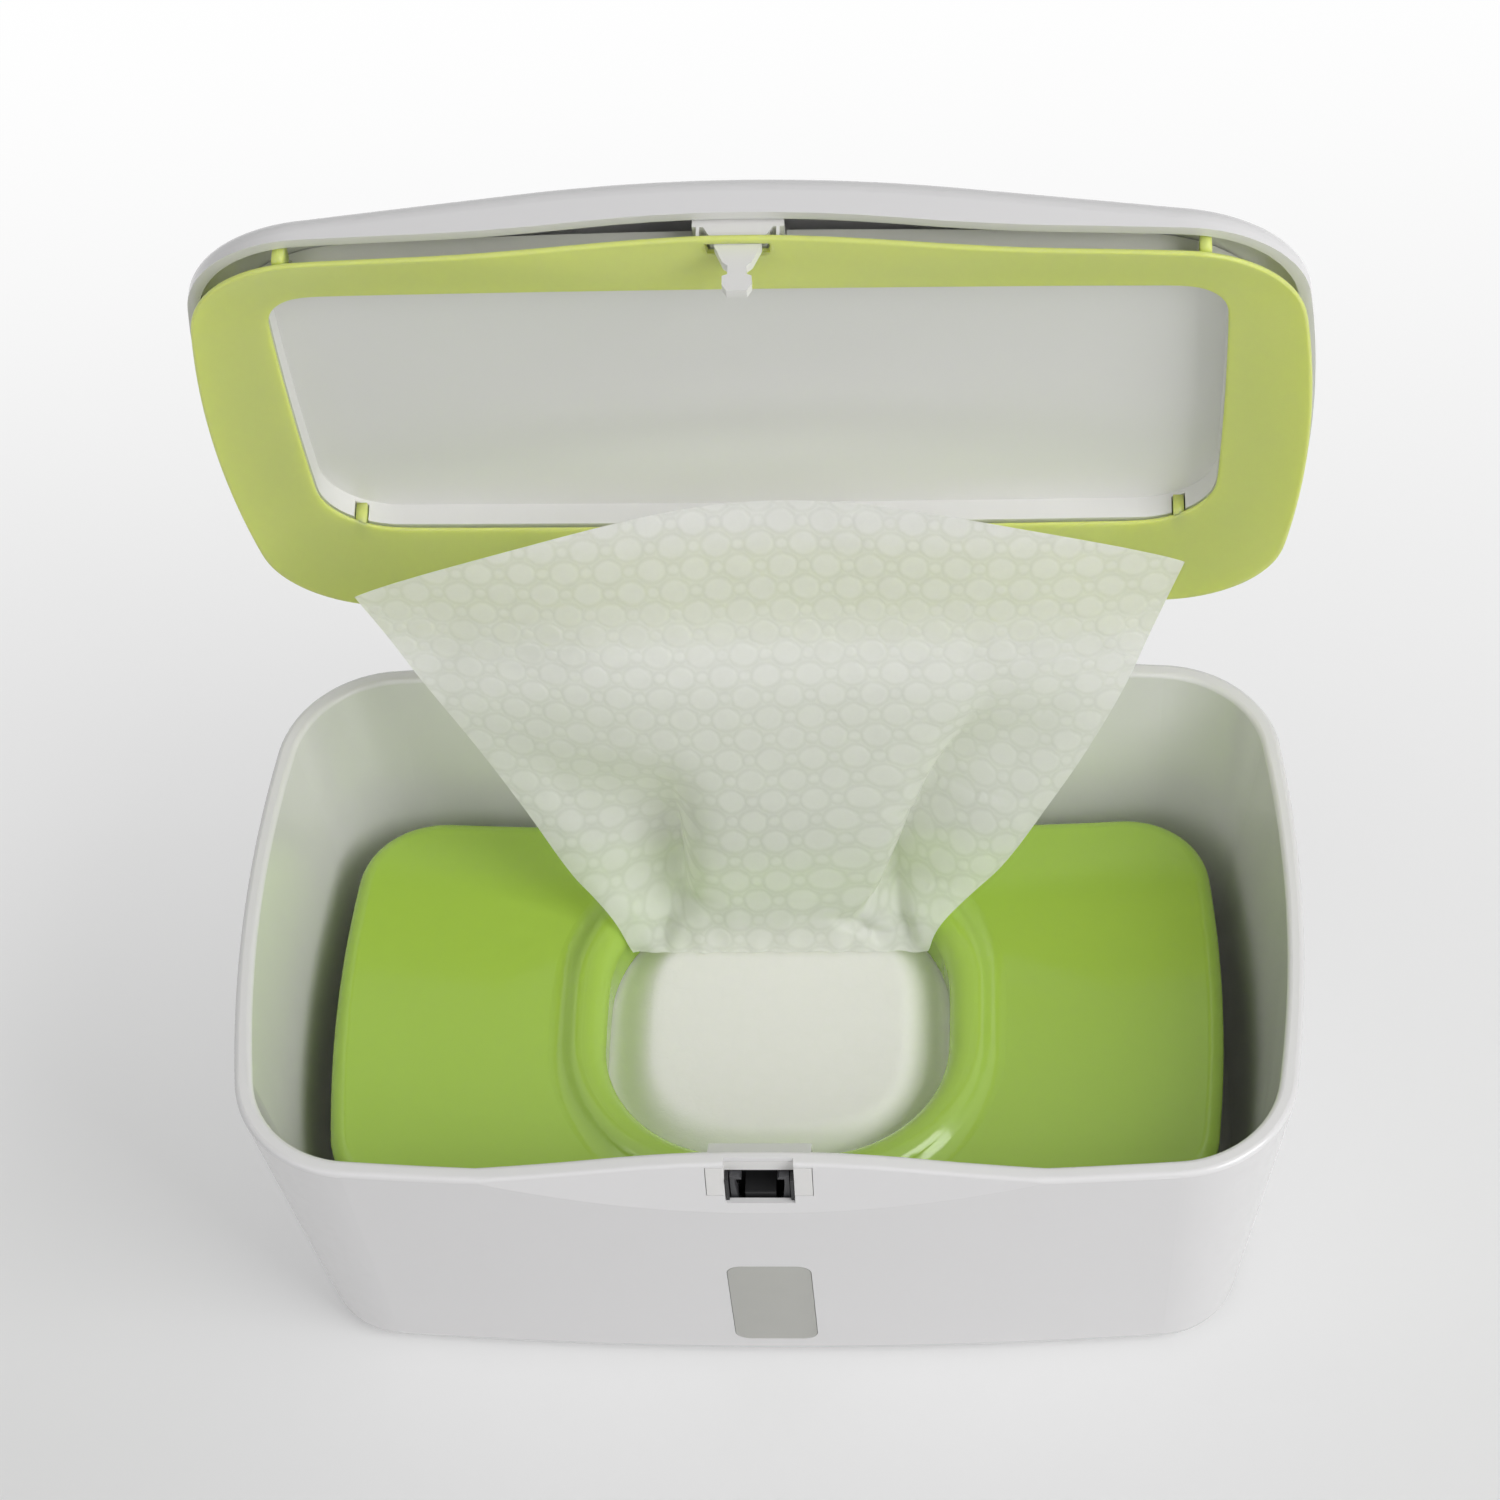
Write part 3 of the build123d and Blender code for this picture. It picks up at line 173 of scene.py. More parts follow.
def new_material(name):
    """A material with an empty node tree, and a wire to start from."""
    material = bpy.data.materials.new(name)
    material.use_nodes = True
    material.node_tree.nodes.clear()
    return material, Wire(material.node_tree)


def object_place(start):
    """A place on the object, in metres."""
    return start.node("ShaderNodeTexCoord", output=3)


def noise(start, place, scale, detail=2.0, roughness=0.5, distortion=0.0):
    """Soft noise over the object, in features of about 1 / scale metres."""
    values = {"Vector": place, "Scale": scale, "Detail": detail, "Roughness": roughness,
              "Distortion": distortion}
    return start.node("ShaderNodeTexNoise", values=values)


def bump(start, height, distance, strength=1.0):
    """A normal that follows a height, whose full range is a distance in metres."""
    values = {"Height": height, "Distance": distance, "Strength": strength}
    return start.node("ShaderNodeBump", values=values)


def finish_material(material, start, shader):
    """Joins the last shader to the material's output."""
    start.node("ShaderNodeOutputMaterial", values={"Surface": shader})
    return material


def plain_surface(material, start, values):
    """Ends a material in one shader with these values."""
    return finish_material(material, start, start.node("ShaderNodeBsdfPrincipled", values=values))


def glowing_surface(material, start, values, glow_values, share):
    """Ends a material in a shader that lets a share of the light through."""
    body = start.node("ShaderNodeBsdfPrincipled", values=values)
    glow = start.node("ShaderNodeBsdfTranslucent", values=glow_values)
    shader = start.node("ShaderNodeMixShader", values={0: share, 1: body, 2: glow})
    return finish_material(material, start, shader)


def moulded_plastic(name, base, shade, gloss, mottle=0.02, skin=0.00002, constants=None):
    """Moulded plastic: a faint flow mottle, uneven gloss and fine skin."""
    material, start = new_material(name)
    place = object_place(start)
    flow = noise(start, place, 22.0, 3.0, 0.55, 0.6)
    speckle = noise(start, place, 1400.0, 2.0)
    ripple = noise(start, place, 60.0, 1.0)
    share = (flow - 0.5) * (mottle * 10.0) + 0.5
    tone = mix(share.between(0.0, 1.0), colour(*base), colour(*shade))
    rough = flow.between(0.3, 0.7) * 0.06 + speckle * 0.03 + (gloss - 0.045)
    height = ripple * 0.8 + speckle * 0.2
    values = {"Base Color": tone, "Roughness": rough, "Normal": bump(start, height, skin)}
    values.update(constants or {})
    return plain_surface(material, start, values)


def brushed_metal(name, base, gloss, stretch):
    """Drawn or turned steel with fine streaks."""
    material, start = new_material(name)
    place = object_place(start)
    stretched = start.node("ShaderNodeMapping", values={"Vector": place, "Scale": stretch})
    streaks = noise(start, stretched, 900.0, 3.0)
    darker = tuple(0.75 * part for part in base)
    tone = mix(streaks, colour(*base), colour(*darker))
    values = {"Base Color": tone, "Metallic": 1.0, "Roughness": streaks * 0.2 + gloss,
              "Normal": bump(start, streaks, 0.00001)}
    return plain_surface(material, start, values)


def silicone(name):
    """Soft yellow-green silicone that glows where it is thin."""
    material, start = new_material(name)
    place = object_place(start)
    cloud = noise(start, place, 18.0, 3.0)
    speckle = noise(start, place, 900.0, 2.0)
    tone = mix(cloud, colour(0.76, 0.90, 0.24), colour(0.80, 0.93, 0.27))
    rough = cloud * 0.08 + speckle * 0.06 + 0.24
    normal = bump(start, cloud * 0.7 + speckle * 0.3, 0.00004)
    values = {"Base Color": tone, "Roughness": rough, "Normal": normal, "Subsurface Weight": 0.7,
              "Subsurface Radius": (1.0, 1.0, 0.25), "Subsurface Scale": 0.004, "IOR": 1.42}
    return glowing_surface(material, start, values, {"Color": colour(0.80, 0.86, 0.18)}, 0.14)


def frosted_window(name):
    """Frosted clear plastic with a fine spark-eroded grain."""
    material, start = new_material(name)
    place = object_place(start)
    grain = noise(start, place, 2500.0, 2.0)
    cloud = noise(start, place, 40.0, 2.0)
    tone = mix(cloud, colour(0.62, 0.62, 0.58), colour(0.70, 0.70, 0.66))
    values = {"Base Color": tone, "Roughness": grain * 0.12 + 0.28, "Alpha": cloud * 0.06 + 0.62,
              "Normal": bump(start, grain, 0.00003)}
    return plain_surface(material, start, values)


def rubber(name):
    """Matt grey foot rubber with dust in its grain."""
    material, start = new_material(name)
    grain = noise(start, object_place(start), 1200.0, 4.0)
    tone = mix(grain, colour(0.30, 0.31, 0.31), colour(0.42, 0.42, 0.41))
    values = {"Base Color": tone, "Roughness": grain * 0.15 + 0.7, "Normal": bump(start, grain, 0.00006)}
    return plain_surface(material, start, values)


# The wipe's emboss: rows of large discs with a small disc between each two, in metres
EMBOSS_STEP = 0.0089
EMBOSS_ROWS = 0.0112
LARGE_DISC = 0.0031
SMALL_DISC = 0.0014
FIBRE_SCALE = (900.0, 1500.0, 1.0)


def disc_distance(start, across, along, shift_across, shift_along):
    """Distance in metres to the nearest centre of a shifted lattice."""
    def offset(place, step, shift):
        cell = (place / step + (0.5 - shift)).math("FRACT")
        return (cell - 0.5) * step
    step_x = offset(across, EMBOSS_STEP, shift_across)
    step_y = offset(along, EMBOSS_ROWS, shift_along)
    return (step_x * step_x + step_y * step_y).math("SQRT")


def emboss_groove(start, flat_map):
    """How far the cloth is pressed: 0 on the puffed discs, half in the web, and most round each disc."""
    waver = noise(start, flat_map, 500.0, 2.0) * 0.0007
    parts = start.node("ShaderNodeSeparateXYZ", values={0: flat_map})
    across = parts + waver
    along = Wire(start.tree, parts.socket.node.outputs[1]) + waver
    large = disc_distance(start, across, along, 0.0, 0.0).math(
        "MINIMUM", disc_distance(start, across, along, 0.5, 0.5))
    small = disc_distance(start, across, along, 0.5, 0.0).math(
        "MINIMUM", disc_distance(start, across, along, 0.0, 0.5))
    past_large, past_small = large - LARGE_DISC, small - SMALL_DISC
    web = past_large.between(-0.0006, 0.0002).math("MINIMUM", past_small.between(-0.0005, 0.0002))
    from_rim = past_large.math("ABSOLUTE").math("MINIMUM", past_small.math("ABSOLUTE"))
    rim = 1.0 - from_rim.between(0.0001, 0.0009)
    return web * 0.5 + rim * 0.5


def embossed(start):
    """The cloth's flat map, how far it is pressed and its fibres."""
    flat_map = start.node("ShaderNodeUVMap", {"uv_map": "flat"})
    groove = emboss_groove(start, flat_map)
    fibre_map = start.node("ShaderNodeMapping", values={"Vector": flat_map, "Scale": FIBRE_SCALE})
    return flat_map, groove, noise(start, fibre_map, 1.0, 4.0, 0.65, 1.5)


def wipe_cloth(name):
    """Moist nonwoven: embossed discs, fine fibres, painted shade in the pressed grooves, and light that comes
    through.
    """
    material, start = new_material(name)
    flat_map, groove, fibres = embossed(start)
    cloud = noise(start, flat_map, 260.0, 3.0, 0.6)
    damp = noise(start, flat_map, 30.0, 2.0)
    plain = mix(cloud.between(0.3, 0.7), colour(0.92, 0.92, 0.91), colour(0.97, 0.97, 0.96))
    # The pressed grooves are mixed towards a darker green-grey: painted shade in the emboss recesses, over the
    # cloud's random tone
    tone = mix(groove * 0.22, plain, colour(0.80, 0.82, 0.76))
    rough = damp * 0.10 + 0.58
    height = (1.0 - groove) * 0.6 + fibres * 0.2 + cloud * 0.2
    normal = bump(start, height, 0.00014)
    values = {"Base Color": tone, "Roughness": rough, "Normal": normal, "Sheen Weight": 0.1,
              "Alpha": 1.0 - groove * 0.09, "Transmission Weight": 0.30, "IOR": 1.28}
    glow_values = {"Color": colour(0.93, 0.93, 0.91), "Normal": normal}
    return glowing_surface(material, start, values, glow_values, 0.16)


def pile_cloth(name):
    """The wipes still in the pile: the same cloth with painted shade in its pressed grooves, thick enough to hide
    what is under it.
    """
    material, start = new_material(name)
    _, groove, fibres = embossed(start)
    # The pressed grooves are mixed towards a darker, greener tone: painted shade in the emboss recesses
    tone = mix(groove * 0.2, colour(0.86, 0.86, 0.81), colour(0.83, 0.84, 0.78))
    height = (1.0 - groove) * 0.2 + fibres * 0.8
    values = {"Base Color": tone, "Roughness": fibres * 0.1 + 0.5, "Normal": bump(start, height, 0.00008),
              "Subsurface Weight": 0.35, "Subsurface Radius": (1.0, 1.0, 0.9), "Subsurface Scale": 0.003}
    return plain_surface(material, start, values)


WHITE_SHELL = moulded_plastic("white_shell", (0.80, 0.79, 0.795), (0.77, 0.765, 0.77), 0.20,
                              constants={"Coat Weight": 0.25, "Coat Roughness": 0.08})
WHITE_PAN = moulded_plastic("white_pan", (0.79, 0.785, 0.775), (0.76, 0.755, 0.745), 0.34)
WHITE_LATCH = moulded_plastic("white_latch", (0.80, 0.79, 0.78), (0.76, 0.755, 0.74), 0.38)
GREEN_PLATE = moulded_plastic("green_plate", (0.395, 0.595, 0.078), (0.365, 0.56, 0.068), 0.19,
                              constants={"Coat Weight": 0.4, "Coat Roughness": 0.06})
BLACK_LATCH = moulded_plastic("black_latch", (0.012, 0.012, 0.013), (0.02, 0.02, 0.021), 0.42)
GREY_LATCH = moulded_plastic("grey_latch", (0.05, 0.05, 0.055), (0.07, 0.07, 0.075), 0.45)
SILICONE = silicone("green_silicone")
WINDOW = frosted_window("frosted_window")
FOOT_RUBBER = rubber("foot_rubber")
STEEL = brushed_metal("steel", (0.62, 0.62, 0.64), 0.28, (1.0, 8.0, 8.0))
SPRING_STEEL = brushed_metal("spring_steel", (0.50, 0.50, 0.52), 0.32, (6.0, 1.0, 1.0))
WIPE_CLOTH = wipe_cloth("wipe_cloth")
PILE_CLOTH = pile_cloth("pile_cloth")

FINISHES = {
    "tub_shell": WHITE_SHELL, "lid_shell": WHITE_SHELL, "lid_liner": WHITE_PAN, "latch_bezel": WHITE_LATCH,
    "striker": WHITE_LATCH, "striker_bracket": WHITE_LATCH, "window": WINDOW, "rubber_feet": FOOT_RUBBER,
    "plate_top": GREEN_PLATE, "plate_base": GREEN_PLATE, "plate_weight": STEEL, "hinge_pins": STEEL,
    "liner_screws": STEEL, "jaw_pins": STEEL, "hinge_spring_left": SPRING_STEEL,
    "hinge_spring_right": SPRING_STEEL, "latch_spring": SPRING_STEEL, "latch_housing": BLACK_LATCH,
    "latch_slider": BLACK_LATCH, "latch_jaw_left": GREY_LATCH, "latch_jaw_right": GREY_LATCH,
}
for node_name, finish in FINISHES.items():
    mesh = nodes[node_name].data
    mesh.materials.clear()
    mesh.materials.append(finish)


def new_piece(name, vertices, faces, material, smooth=True):
    """A mesh object from its points and faces."""
    mesh = bpy.data.meshes.new(name)
    mesh.from_pydata([tuple(vertex) for vertex in vertices], [], faces)
    mesh.materials.append(material)
    if smooth:
        mesh.shade_smooth()
    else:
        mesh.shade_flat()
    piece = bpy.data.objects.new(name, mesh)
    bpy.context.scene.collection.objects.link(piece)
    return piece


def smoothstep(value, low, high):
    """0 below low and 1 above high, with a smooth rise between."""
    share = min(1.0, max(0.0, (value - low) / (high - low)))
    return share * share * (3 - 2 * share)


def arch(x):
    """How much the rim and the lid's parts rise at a distance from the middle."""
    share = min(1.0, abs(x) / ARCH_HALF)
    return ARCH_RISE * (0.5 + 0.5 * math.cos(math.pi * share))


def opened(point):
    """A point of the closed lid, swung to where the lid stands open."""
    step_y = point[1] - HINGE_Y
    step_z = point[2] - HINGE_Z
    cos, sin = math.cos(OPEN_ANGLE), math.sin(OPEN_ANGLE)
    return (point[0], HINGE_Y + step_y * cos + step_z * sin, HINGE_Z - step_y * sin + step_z * cos)


def arc_points(centre, radius, start, end, count):
    """Points along an arc, the last one left out."""
    for step in range(count):
        angle = start + (end - start) * step / count
        yield (centre[0] + radius * math.cos(angle), centre[1] + radius * math.sin(angle))


def bowed_ring(half, corner, bow, per_side=16, per_corner=12):
    """A rounded rectangle whose sides bow outwards, from the middle of its right side."""
    half_x, half_y = half
    bow_x, bow_y = bow
    corner_x, corner_y = half_x - bow_x, half_y - bow_y
    side_radius = (bow_x ** 2 + corner_y ** 2) / (2 * bow_x)
    end_radius = (bow_y ** 2 + corner_x ** 2) / (2 * bow_y)
    side_centre = (half_x - side_radius, 0.0)
    end_centre = (0.0, half_y - end_radius)
    # The rounding's centre lies one corner radius inside both bowed sides
    to_side, to_end = side_radius - corner, end_radius - corner
    apart = math.hypot(side_centre[0], end_centre[1])
    along = (to_side ** 2 - to_end ** 2 + apart ** 2) / (2 * apart)
    aside = math.sqrt(to_side ** 2 - along ** 2)
    line = ((end_centre[0] - side_centre[0]) / apart, (end_centre[1] - side_centre[1]) / apart)
    centre = (side_centre[0] + line[0] * along - line[1] * aside,
              side_centre[1] + line[1] * along + line[0] * aside)
    side_turn = math.atan2(centre[1] - side_centre[1], centre[0] - side_centre[0])
    end_turn = math.atan2(centre[1] - end_centre[1], centre[0] - end_centre[0])
    quarter = list(arc_points(side_centre, side_radius, 0.0, side_turn, per_side))
    quarter += list(arc_points(centre, corner, side_turn, end_turn, per_corner))
    quarter += list(arc_points(end_centre, end_radius, end_turn, math.pi / 2, per_side))
    top = (0.0, half_y)
    ring = quarter + [top] + [(-x, y) for x, y in reversed(quarter)]
    ring += [(-x, -y) for x, y in quarter[1:]] + [(0.0, -half_y)]
    ring += [(x, -y) for x, y in reversed(quarter[1:])]
    return ring


def turned_corner(centre, radius, start, count=10):
    """A quarter of a circle, both ends included."""
    angles = [start + 0.5 * math.pi * step / count for step in range(count + 1)]
    return [(centre[0] + radius * math.cos(angle), centre[1] + radius * math.sin(angle)) for angle in angles]


def mouth_outline():
    """The gasket's inner edge, rounder at the back and bowed a little, from its back right corner."""
    back, front = MOUTH_BACK_CORNER, MOUTH_FRONT_CORNER
    half, bow = MOUTH_HALF - MOUTH_BOW, MOUTH_BOW
    back_y, front_y = MOUTH_BACK_Y - bow, MOUTH_FRONT_Y + bow
    outline = turned_corner((half - back, back_y - back), back, 0.0)
    outline += turned_corner((-half + back, back_y - back), back, 0.5 * math.pi)
    outline += turned_corner((-half + front, front_y + front), front, math.pi)
    outline += turned_corner((half - front, front_y + front), front, 1.5 * math.pi)
    fine = []
    for index, (x, y) in enumerate(outline):
        to_x, to_y = outline[(index + 1) % len(outline)]
        steps = max(1, int(math.hypot(to_x - x, to_y - y) / MOUTH_STEP))
        fine += [(x + (to_x - x) * step / steps, y + (to_y - y) * step / steps) for step in range(steps)]
    middle_y = (MOUTH_BACK_Y + MOUTH_FRONT_Y) / 2
    reach_y = (MOUTH_BACK_Y - MOUTH_FRONT_Y) / 2
    return [(x + math.copysign(bow, x) * (1 - ((y - middle_y) / reach_y) ** 2),
             y + math.copysign(bow, y - middle_y) * (1 - (x / MOUTH_HALF) ** 2)) for x, y in fine]


def in_directions(outline, directions):
    """A closed outline's points in given directions from the origin."""
    ring = np.array(outline)
    own = np.arctan2(ring[:, 1], ring[:, 0])
    order = np.argsort(own)
    own, ring = own[order], ring[order]
    own = np.concatenate([own[-1:] - 2 * math.pi, own, own[:1] + 2 * math.pi])
    ring = np.vstack([ring[-1:], ring, ring[:1]])
    return np.column_stack([np.interp(directions, own, ring[:, axis]) for axis in (0, 1)])


def gasket_outline():
    """The gasket's outer edge, with points where the striker's gap begins and ends."""
    gap = STRIKER_GAP[0]
    outline = [point for point in bowed_ring(GASKET_HALF, GASKET_CORNER, GASKET_BOW)
               if point[1] > 0 or abs(point[0]) > 1.6 * gap]
    front = [(x, -GASKET_HALF[1]) for x in (-1.3 * gap, -gap, -0.5 * gap, 0.0, 0.5 * gap, gap, 1.3 * gap)]
    after = next(index for index, point in enumerate(outline) if point[1] < 0 and point[0] > 0)
    return outline[:after] + front + outline[after:]


def gasket_place(outer, inner, share, lift):
    """A point of the closed gasket, at a share of the way from its outer edge to its mouth."""
    x = outer[0] + (inner[0] - outer[0]) * share
    y = outer[1] + (inner[1] - outer[1]) * share
    front = smoothstep(-y, *ARCH_FORWARD) * (1 - ARCH_LOSS * smoothstep(share, ARCH_LOSS_FROM, 1.0))
    dish = GASKET_DISH * math.sin(0.5 * math.pi * max(0.0, share))
    rise = (dish ** 4 + (arch(x) * front) ** 4) ** 0.25
    return (x, y, GASKET_Z + rise + lift)


def add_tabs(vertices, faces):
    """Adds the four tabs that hold the gasket on the inner lid."""
    for tab_x, tab_y in TABS:
        for side in (-1, 1):
            low = GASKET_Z + GASKET_SHEET / 2 + (GASKET_DISH if tab_y > 0 else FRONT_TAB_DISH * GASKET_DISH)
            first = len(vertices)
            for z in (low, TAB_TOP_Z):
                for step_x, step_y in ((-1, -1), (1, -1), (1, 1), (-1, 1)):
                    vertices.append(opened((side * tab_x + step_x * TAB_HALF[0],
                                            tab_y + step_y * TAB_HALF[1], z)))
            faces.append([first + corner for corner in (3, 2, 1, 0)])
            faces.append([first + corner for corner in (4, 5, 6, 7)])
            for corner in range(4):
                following = (corner + 1) % 4
                faces.append((first + corner, first + following, first + following + 4, first + corner + 4))


def make_gasket():
    """The dished silicone frame on the lid, with its raised front, striker gap and tabs."""
    outer = gasket_outline()
    directions = np.arctan2([y for x, y in outer], [x for x, y in outer])
    inner = in_directions(mouth_outline(), directions)
    # The striker's gap, as shares of the way in
    width = -GASKET_HALF[1] - MOUTH_FRONT_Y
    gap_out = (-GASKET_HALF[1] - STRIKER_Y + STRIKER_GAP[1]) / width
    gap_in = (-GASKET_HALF[1] - STRIKER_Y - STRIKER_GAP[1]) / width
    # The section from the outer lip, over the face, round the inner edge and back above
    face = [(-0.006, 0.0005), (0.0, 0.0001), (0.02, -0.0002), (0.06, -0.0001), (gap_out, 0.0), (gap_in, 0.0),
            (0.45, 0.0), (0.65, 0.0), (0.85, 0.0), (0.97, 0.0), (0.995, 0.0002), (1.0, 0.0005)]
    back = [(0.995, GASKET_SHEET - 0.0001), (0.96, GASKET_SHEET), (0.6, GASKET_SHEET), (gap_in, GASKET_SHEET),
            (gap_out, GASKET_SHEET), (0.02, GASKET_SHEET), (0.0, GASKET_SHEET - 0.0002)]
    sections = face + back
    vertices = [opened(gasket_place(start, end, share, lift))
                for start, end in zip(outer, inner) for share, lift in sections]
    count, width = len(outer), len(sections)
    spots = [index for index, (share, lift) in enumerate(sections) if share in (gap_out, gap_in)]
    face_out, face_in, back_in, back_out = spots
    gap_columns = [index for index, (x, y) in enumerate(outer) if y < 0 and abs(x) < STRIKER_GAP[0] + 0.0001]
    faces = []
    for ring in range(count):
        after = (ring + 1) % count
        in_gap = ring in gap_columns and after in gap_columns
        for spot in range(width):
            if in_gap and spot in (face_out, back_in):
                continue
            faces.append((ring * width + spot, ring * width + (spot + 1) % width,
                          after * width + (spot + 1) % width, after * width + spot))
        if in_gap:
            faces.append((ring * width + face_out, after * width + face_out,
                          after * width + back_out, ring * width + back_out))
            faces.append((after * width + face_in, ring * width + face_in,
                          ring * width + back_in, after * width + back_in))
    for column in (gap_columns[0], gap_columns[-1]):
        side = [column * width + spot for spot in spots]
        faces.append(side if column == gap_columns[-1] else side[::-1])
    first_tab = len(vertices)
    add_tabs(vertices, faces)
    gasket = new_piece("gasket_frame", vertices, faces, SILICONE)
    # The tabs keep their sharp edges
    creases = gasket.data.attributes.new("crease_edge", "FLOAT", "EDGE")
    for edge in gasket.data.edges:
        creases.data[edge.index].value = 1.0 if min(edge.vertices) >= first_tab else 0.0
    gasket.modifiers.new("smooth", "SUBSURF").render_levels = 1
    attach(gasket, "lid")
    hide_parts("lid_gasket")


make_gasket()


def make_latch_coil():
    """The latch's coil as packed, in a mesh of its own on the root body."""
    slide = next(joint for joint in frame["record"]["behaviour"]["joints"] if joint["name"] == "latch_slide")
    fixed_z = slide["deforming_nodes"][0]["fixed_end_z_m"]
    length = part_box("latch_spring")[1].z - fixed_z
    packed = nodes["latch_spring"].data
    coil = new_piece("latch_coil", [vertex.co for vertex in packed.vertices],
                     [tuple(face.vertices) for face in packed.polygons], SPRING_STEEL)
    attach(coil, "root")
    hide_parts("latch_spring")
    1 + slide["range_m"][0] / length
    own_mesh(coil)


make_latch_coil()


# Pile of wipes: the length of a face, the round of its corners, the height under the plate, how far
# and over what width its edges drop, its layers and how far every second one stands in
PILE_LOW, PILE_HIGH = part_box("wipe_stack")
PILE_STEP = 0.001
PILE_CORNER = 0.0142
PILE_LEVEL = 0.0342
PILE_EDGE_DROP = 0.004
PILE_EDGE_WIDTH = 0.006
PILE_LAYERS = 12
PILE_LAYER_INSET = 0.0006
# The mound in the slot: its half sizes, and the shares of them between which it falls
MOUND_HALF = (0.035, 0.034)
MOUND_FALL = (0.76, 1.04)
# Where the cloth's flat maps begin
PILE_MAP_START = 0.3
WIPE_MAP_START = 0.2


def pile_height(x, y):
    """The pile's top: level under the plate, and bulging up into the slot."""
    reach = ((abs(x) / MOUND_HALF[0]) ** 3 + (abs(y) / MOUND_HALF[1]) ** 3) ** (1 / 3)
    swell = 1 - smoothstep(reach, *MOUND_FALL)
    edge = min(PILE_HIGH.x - abs(x), PILE_HIGH.y - abs(y))
    level = PILE_LEVEL - PILE_EDGE_DROP * (1 - smoothstep(edge, 0.0, PILE_EDGE_WIDTH))
    return level + (PILE_HIGH.z - PILE_LEVEL) * swell


def make_pile():
    """The folded pile of moist wipes, soft at its edges."""
    columns = int((PILE_HIGH.x - PILE_LOW.x) / PILE_STEP)
    rows = int((PILE_HIGH.y - PILE_LOW.y) / PILE_STEP)
    vertices, faces, index = [], [], {}

    def vertex(key, point):
        if key not in index:
            index[key] = len(vertices)
            vertices.append(point)
        return index[key]

    def place(column, row):
        x = PILE_LOW.x + (PILE_HIGH.x - PILE_LOW.x) * column / columns
        y = PILE_LOW.y + (PILE_HIGH.y - PILE_LOW.y) * row / rows
        past_x, past_y = abs(x) - PILE_HIGH.x + PILE_CORNER, abs(y) - PILE_HIGH.y + PILE_CORNER
        if past_x <= 0 or past_y <= 0:
            return x, y
        pull = 1 - max(past_x, past_y) / math.hypot(past_x, past_y)
        return x - math.copysign(past_x * pull, x), y - math.copysign(past_y * pull, y)

    def top(column, row):
        x, y = place(column, row)
        return vertex((column, row, PILE_LAYERS), (x, y, pile_height(x, y)))

    def side(column, row, layer):
        if layer == PILE_LAYERS:
            return top(column, row)
        x, y = place(column, row)
        height = pile_height(x, y)
        z = PILE_LOW.z + (height - PILE_LOW.z) * layer / PILE_LAYERS
        pull = PILE_LAYER_INSET if layer % 2 == 0 else 0.0
        return vertex((column, row, layer), (x * (1 - pull / PILE_HIGH.x), y * (1 - pull / PILE_HIGH.y), z))

    for column in range(columns):
        for row in range(rows):
            faces.append((top(column, row), top(column + 1, row), top(column + 1, row + 1),
                          top(column, row + 1)))
            faces.append((side(column, row, 0), side(column, row + 1, 0), side(column + 1, row + 1, 0),
                          side(column + 1, row, 0)))
    for layer in range(PILE_LAYERS):
        for column in range(columns):
            for row, flip in ((0, False), (rows, True)):
                loop = (side(column, row, layer), side(column + 1, row, layer),
                        side(column + 1, row, layer + 1), side(column, row, layer + 1))
                faces.append(loop[::-1] if flip else loop)
        for row in range(rows):
            for column, flip in ((0, True), (columns, False)):
                loop = (side(column, row, layer), side(column, row + 1, layer),
                        side(column, row + 1, layer + 1), side(column, row, layer + 1))
                faces.append(loop[::-1] if flip else loop)
    pile = new_piece("wipe_pile", vertices, faces, PILE_CLOTH)
    flat = pile.data.uv_layers.new(name="flat")
    for loop in pile.data.loops:
        point = pile.data.vertices[loop.vertex_index].co
        flat.data[loop.index].uv = (point.x + PILE_MAP_START, point.y + PILE_MAP_START + point.z)
    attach(pile, "root")
    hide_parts("wipe_stack")
    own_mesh(pile)


make_pile()


# The wipe drawn up through the slot, cut 180 mm wide, of which 125 mm is drawn
WIPE_COLUMNS = 300
WIPE_ROWS = 130
WIPE_LEAN = 0.21
WIPE_FOOT_Y = 0.0185
WIPE_FOOT_Z = 0.0412
# How high the middle of its top edge stands over the corners
WIPE_CROWN = 0.019
# How far a fold sinks for each step it goes back
WIPE_SAG = 0.3
# How far the side flanks swing back from the middle panel halfway up
WIPE_SWING = 0.006
# Depths of the slow waves in the free part and of the small creases at the foot
WIPE_WAVE = 0.0012
WIPE_CRINKLE = 0.00015

# Its side edges from foot to top, as x and z
WIPE_LEFT = ((-0.0325, 0.0412), (-0.0358, 0.0478), (-0.0448, 0.058), (-0.054, 0.075), (-0.063, 0.092),
             (-0.0725, 0.110), (-0.0785, 0.124), (-0.084, 0.137))
WIPE_RIGHT = ((0.0322, 0.0412), (0.0352, 0.0478), (0.0482, 0.0605), (0.0585, 0.0765), (0.0665, 0.091),
              (0.074, 0.108), (0.080, 0.126), (0.086, 0.144))


def curve_at(points, share):
    """A smooth curve through points, at a share of the way along them."""
    points = [Vector(point) for point in points]
    spans = len(points) - 1
    spot = min(spans - 1e-9, max(0.0, share * spans))
    index = int(spot)
    t = spot - index
    p1, p2 = points[index], points[index + 1]
    p0 = points[index - 1] if index > 0 else p1 * 2 - p2
    p3 = points[index + 2] if index + 2 <= spans else p2 * 2 - p1
    return 0.5 * ((2 * p1) + (p2 - p0) * t + (2 * p0 - 5 * p1 + 4 * p2 - p3) * t ** 2
                  + (3 * p1 - p0 - 3 * p2 + p3) * t ** 3)


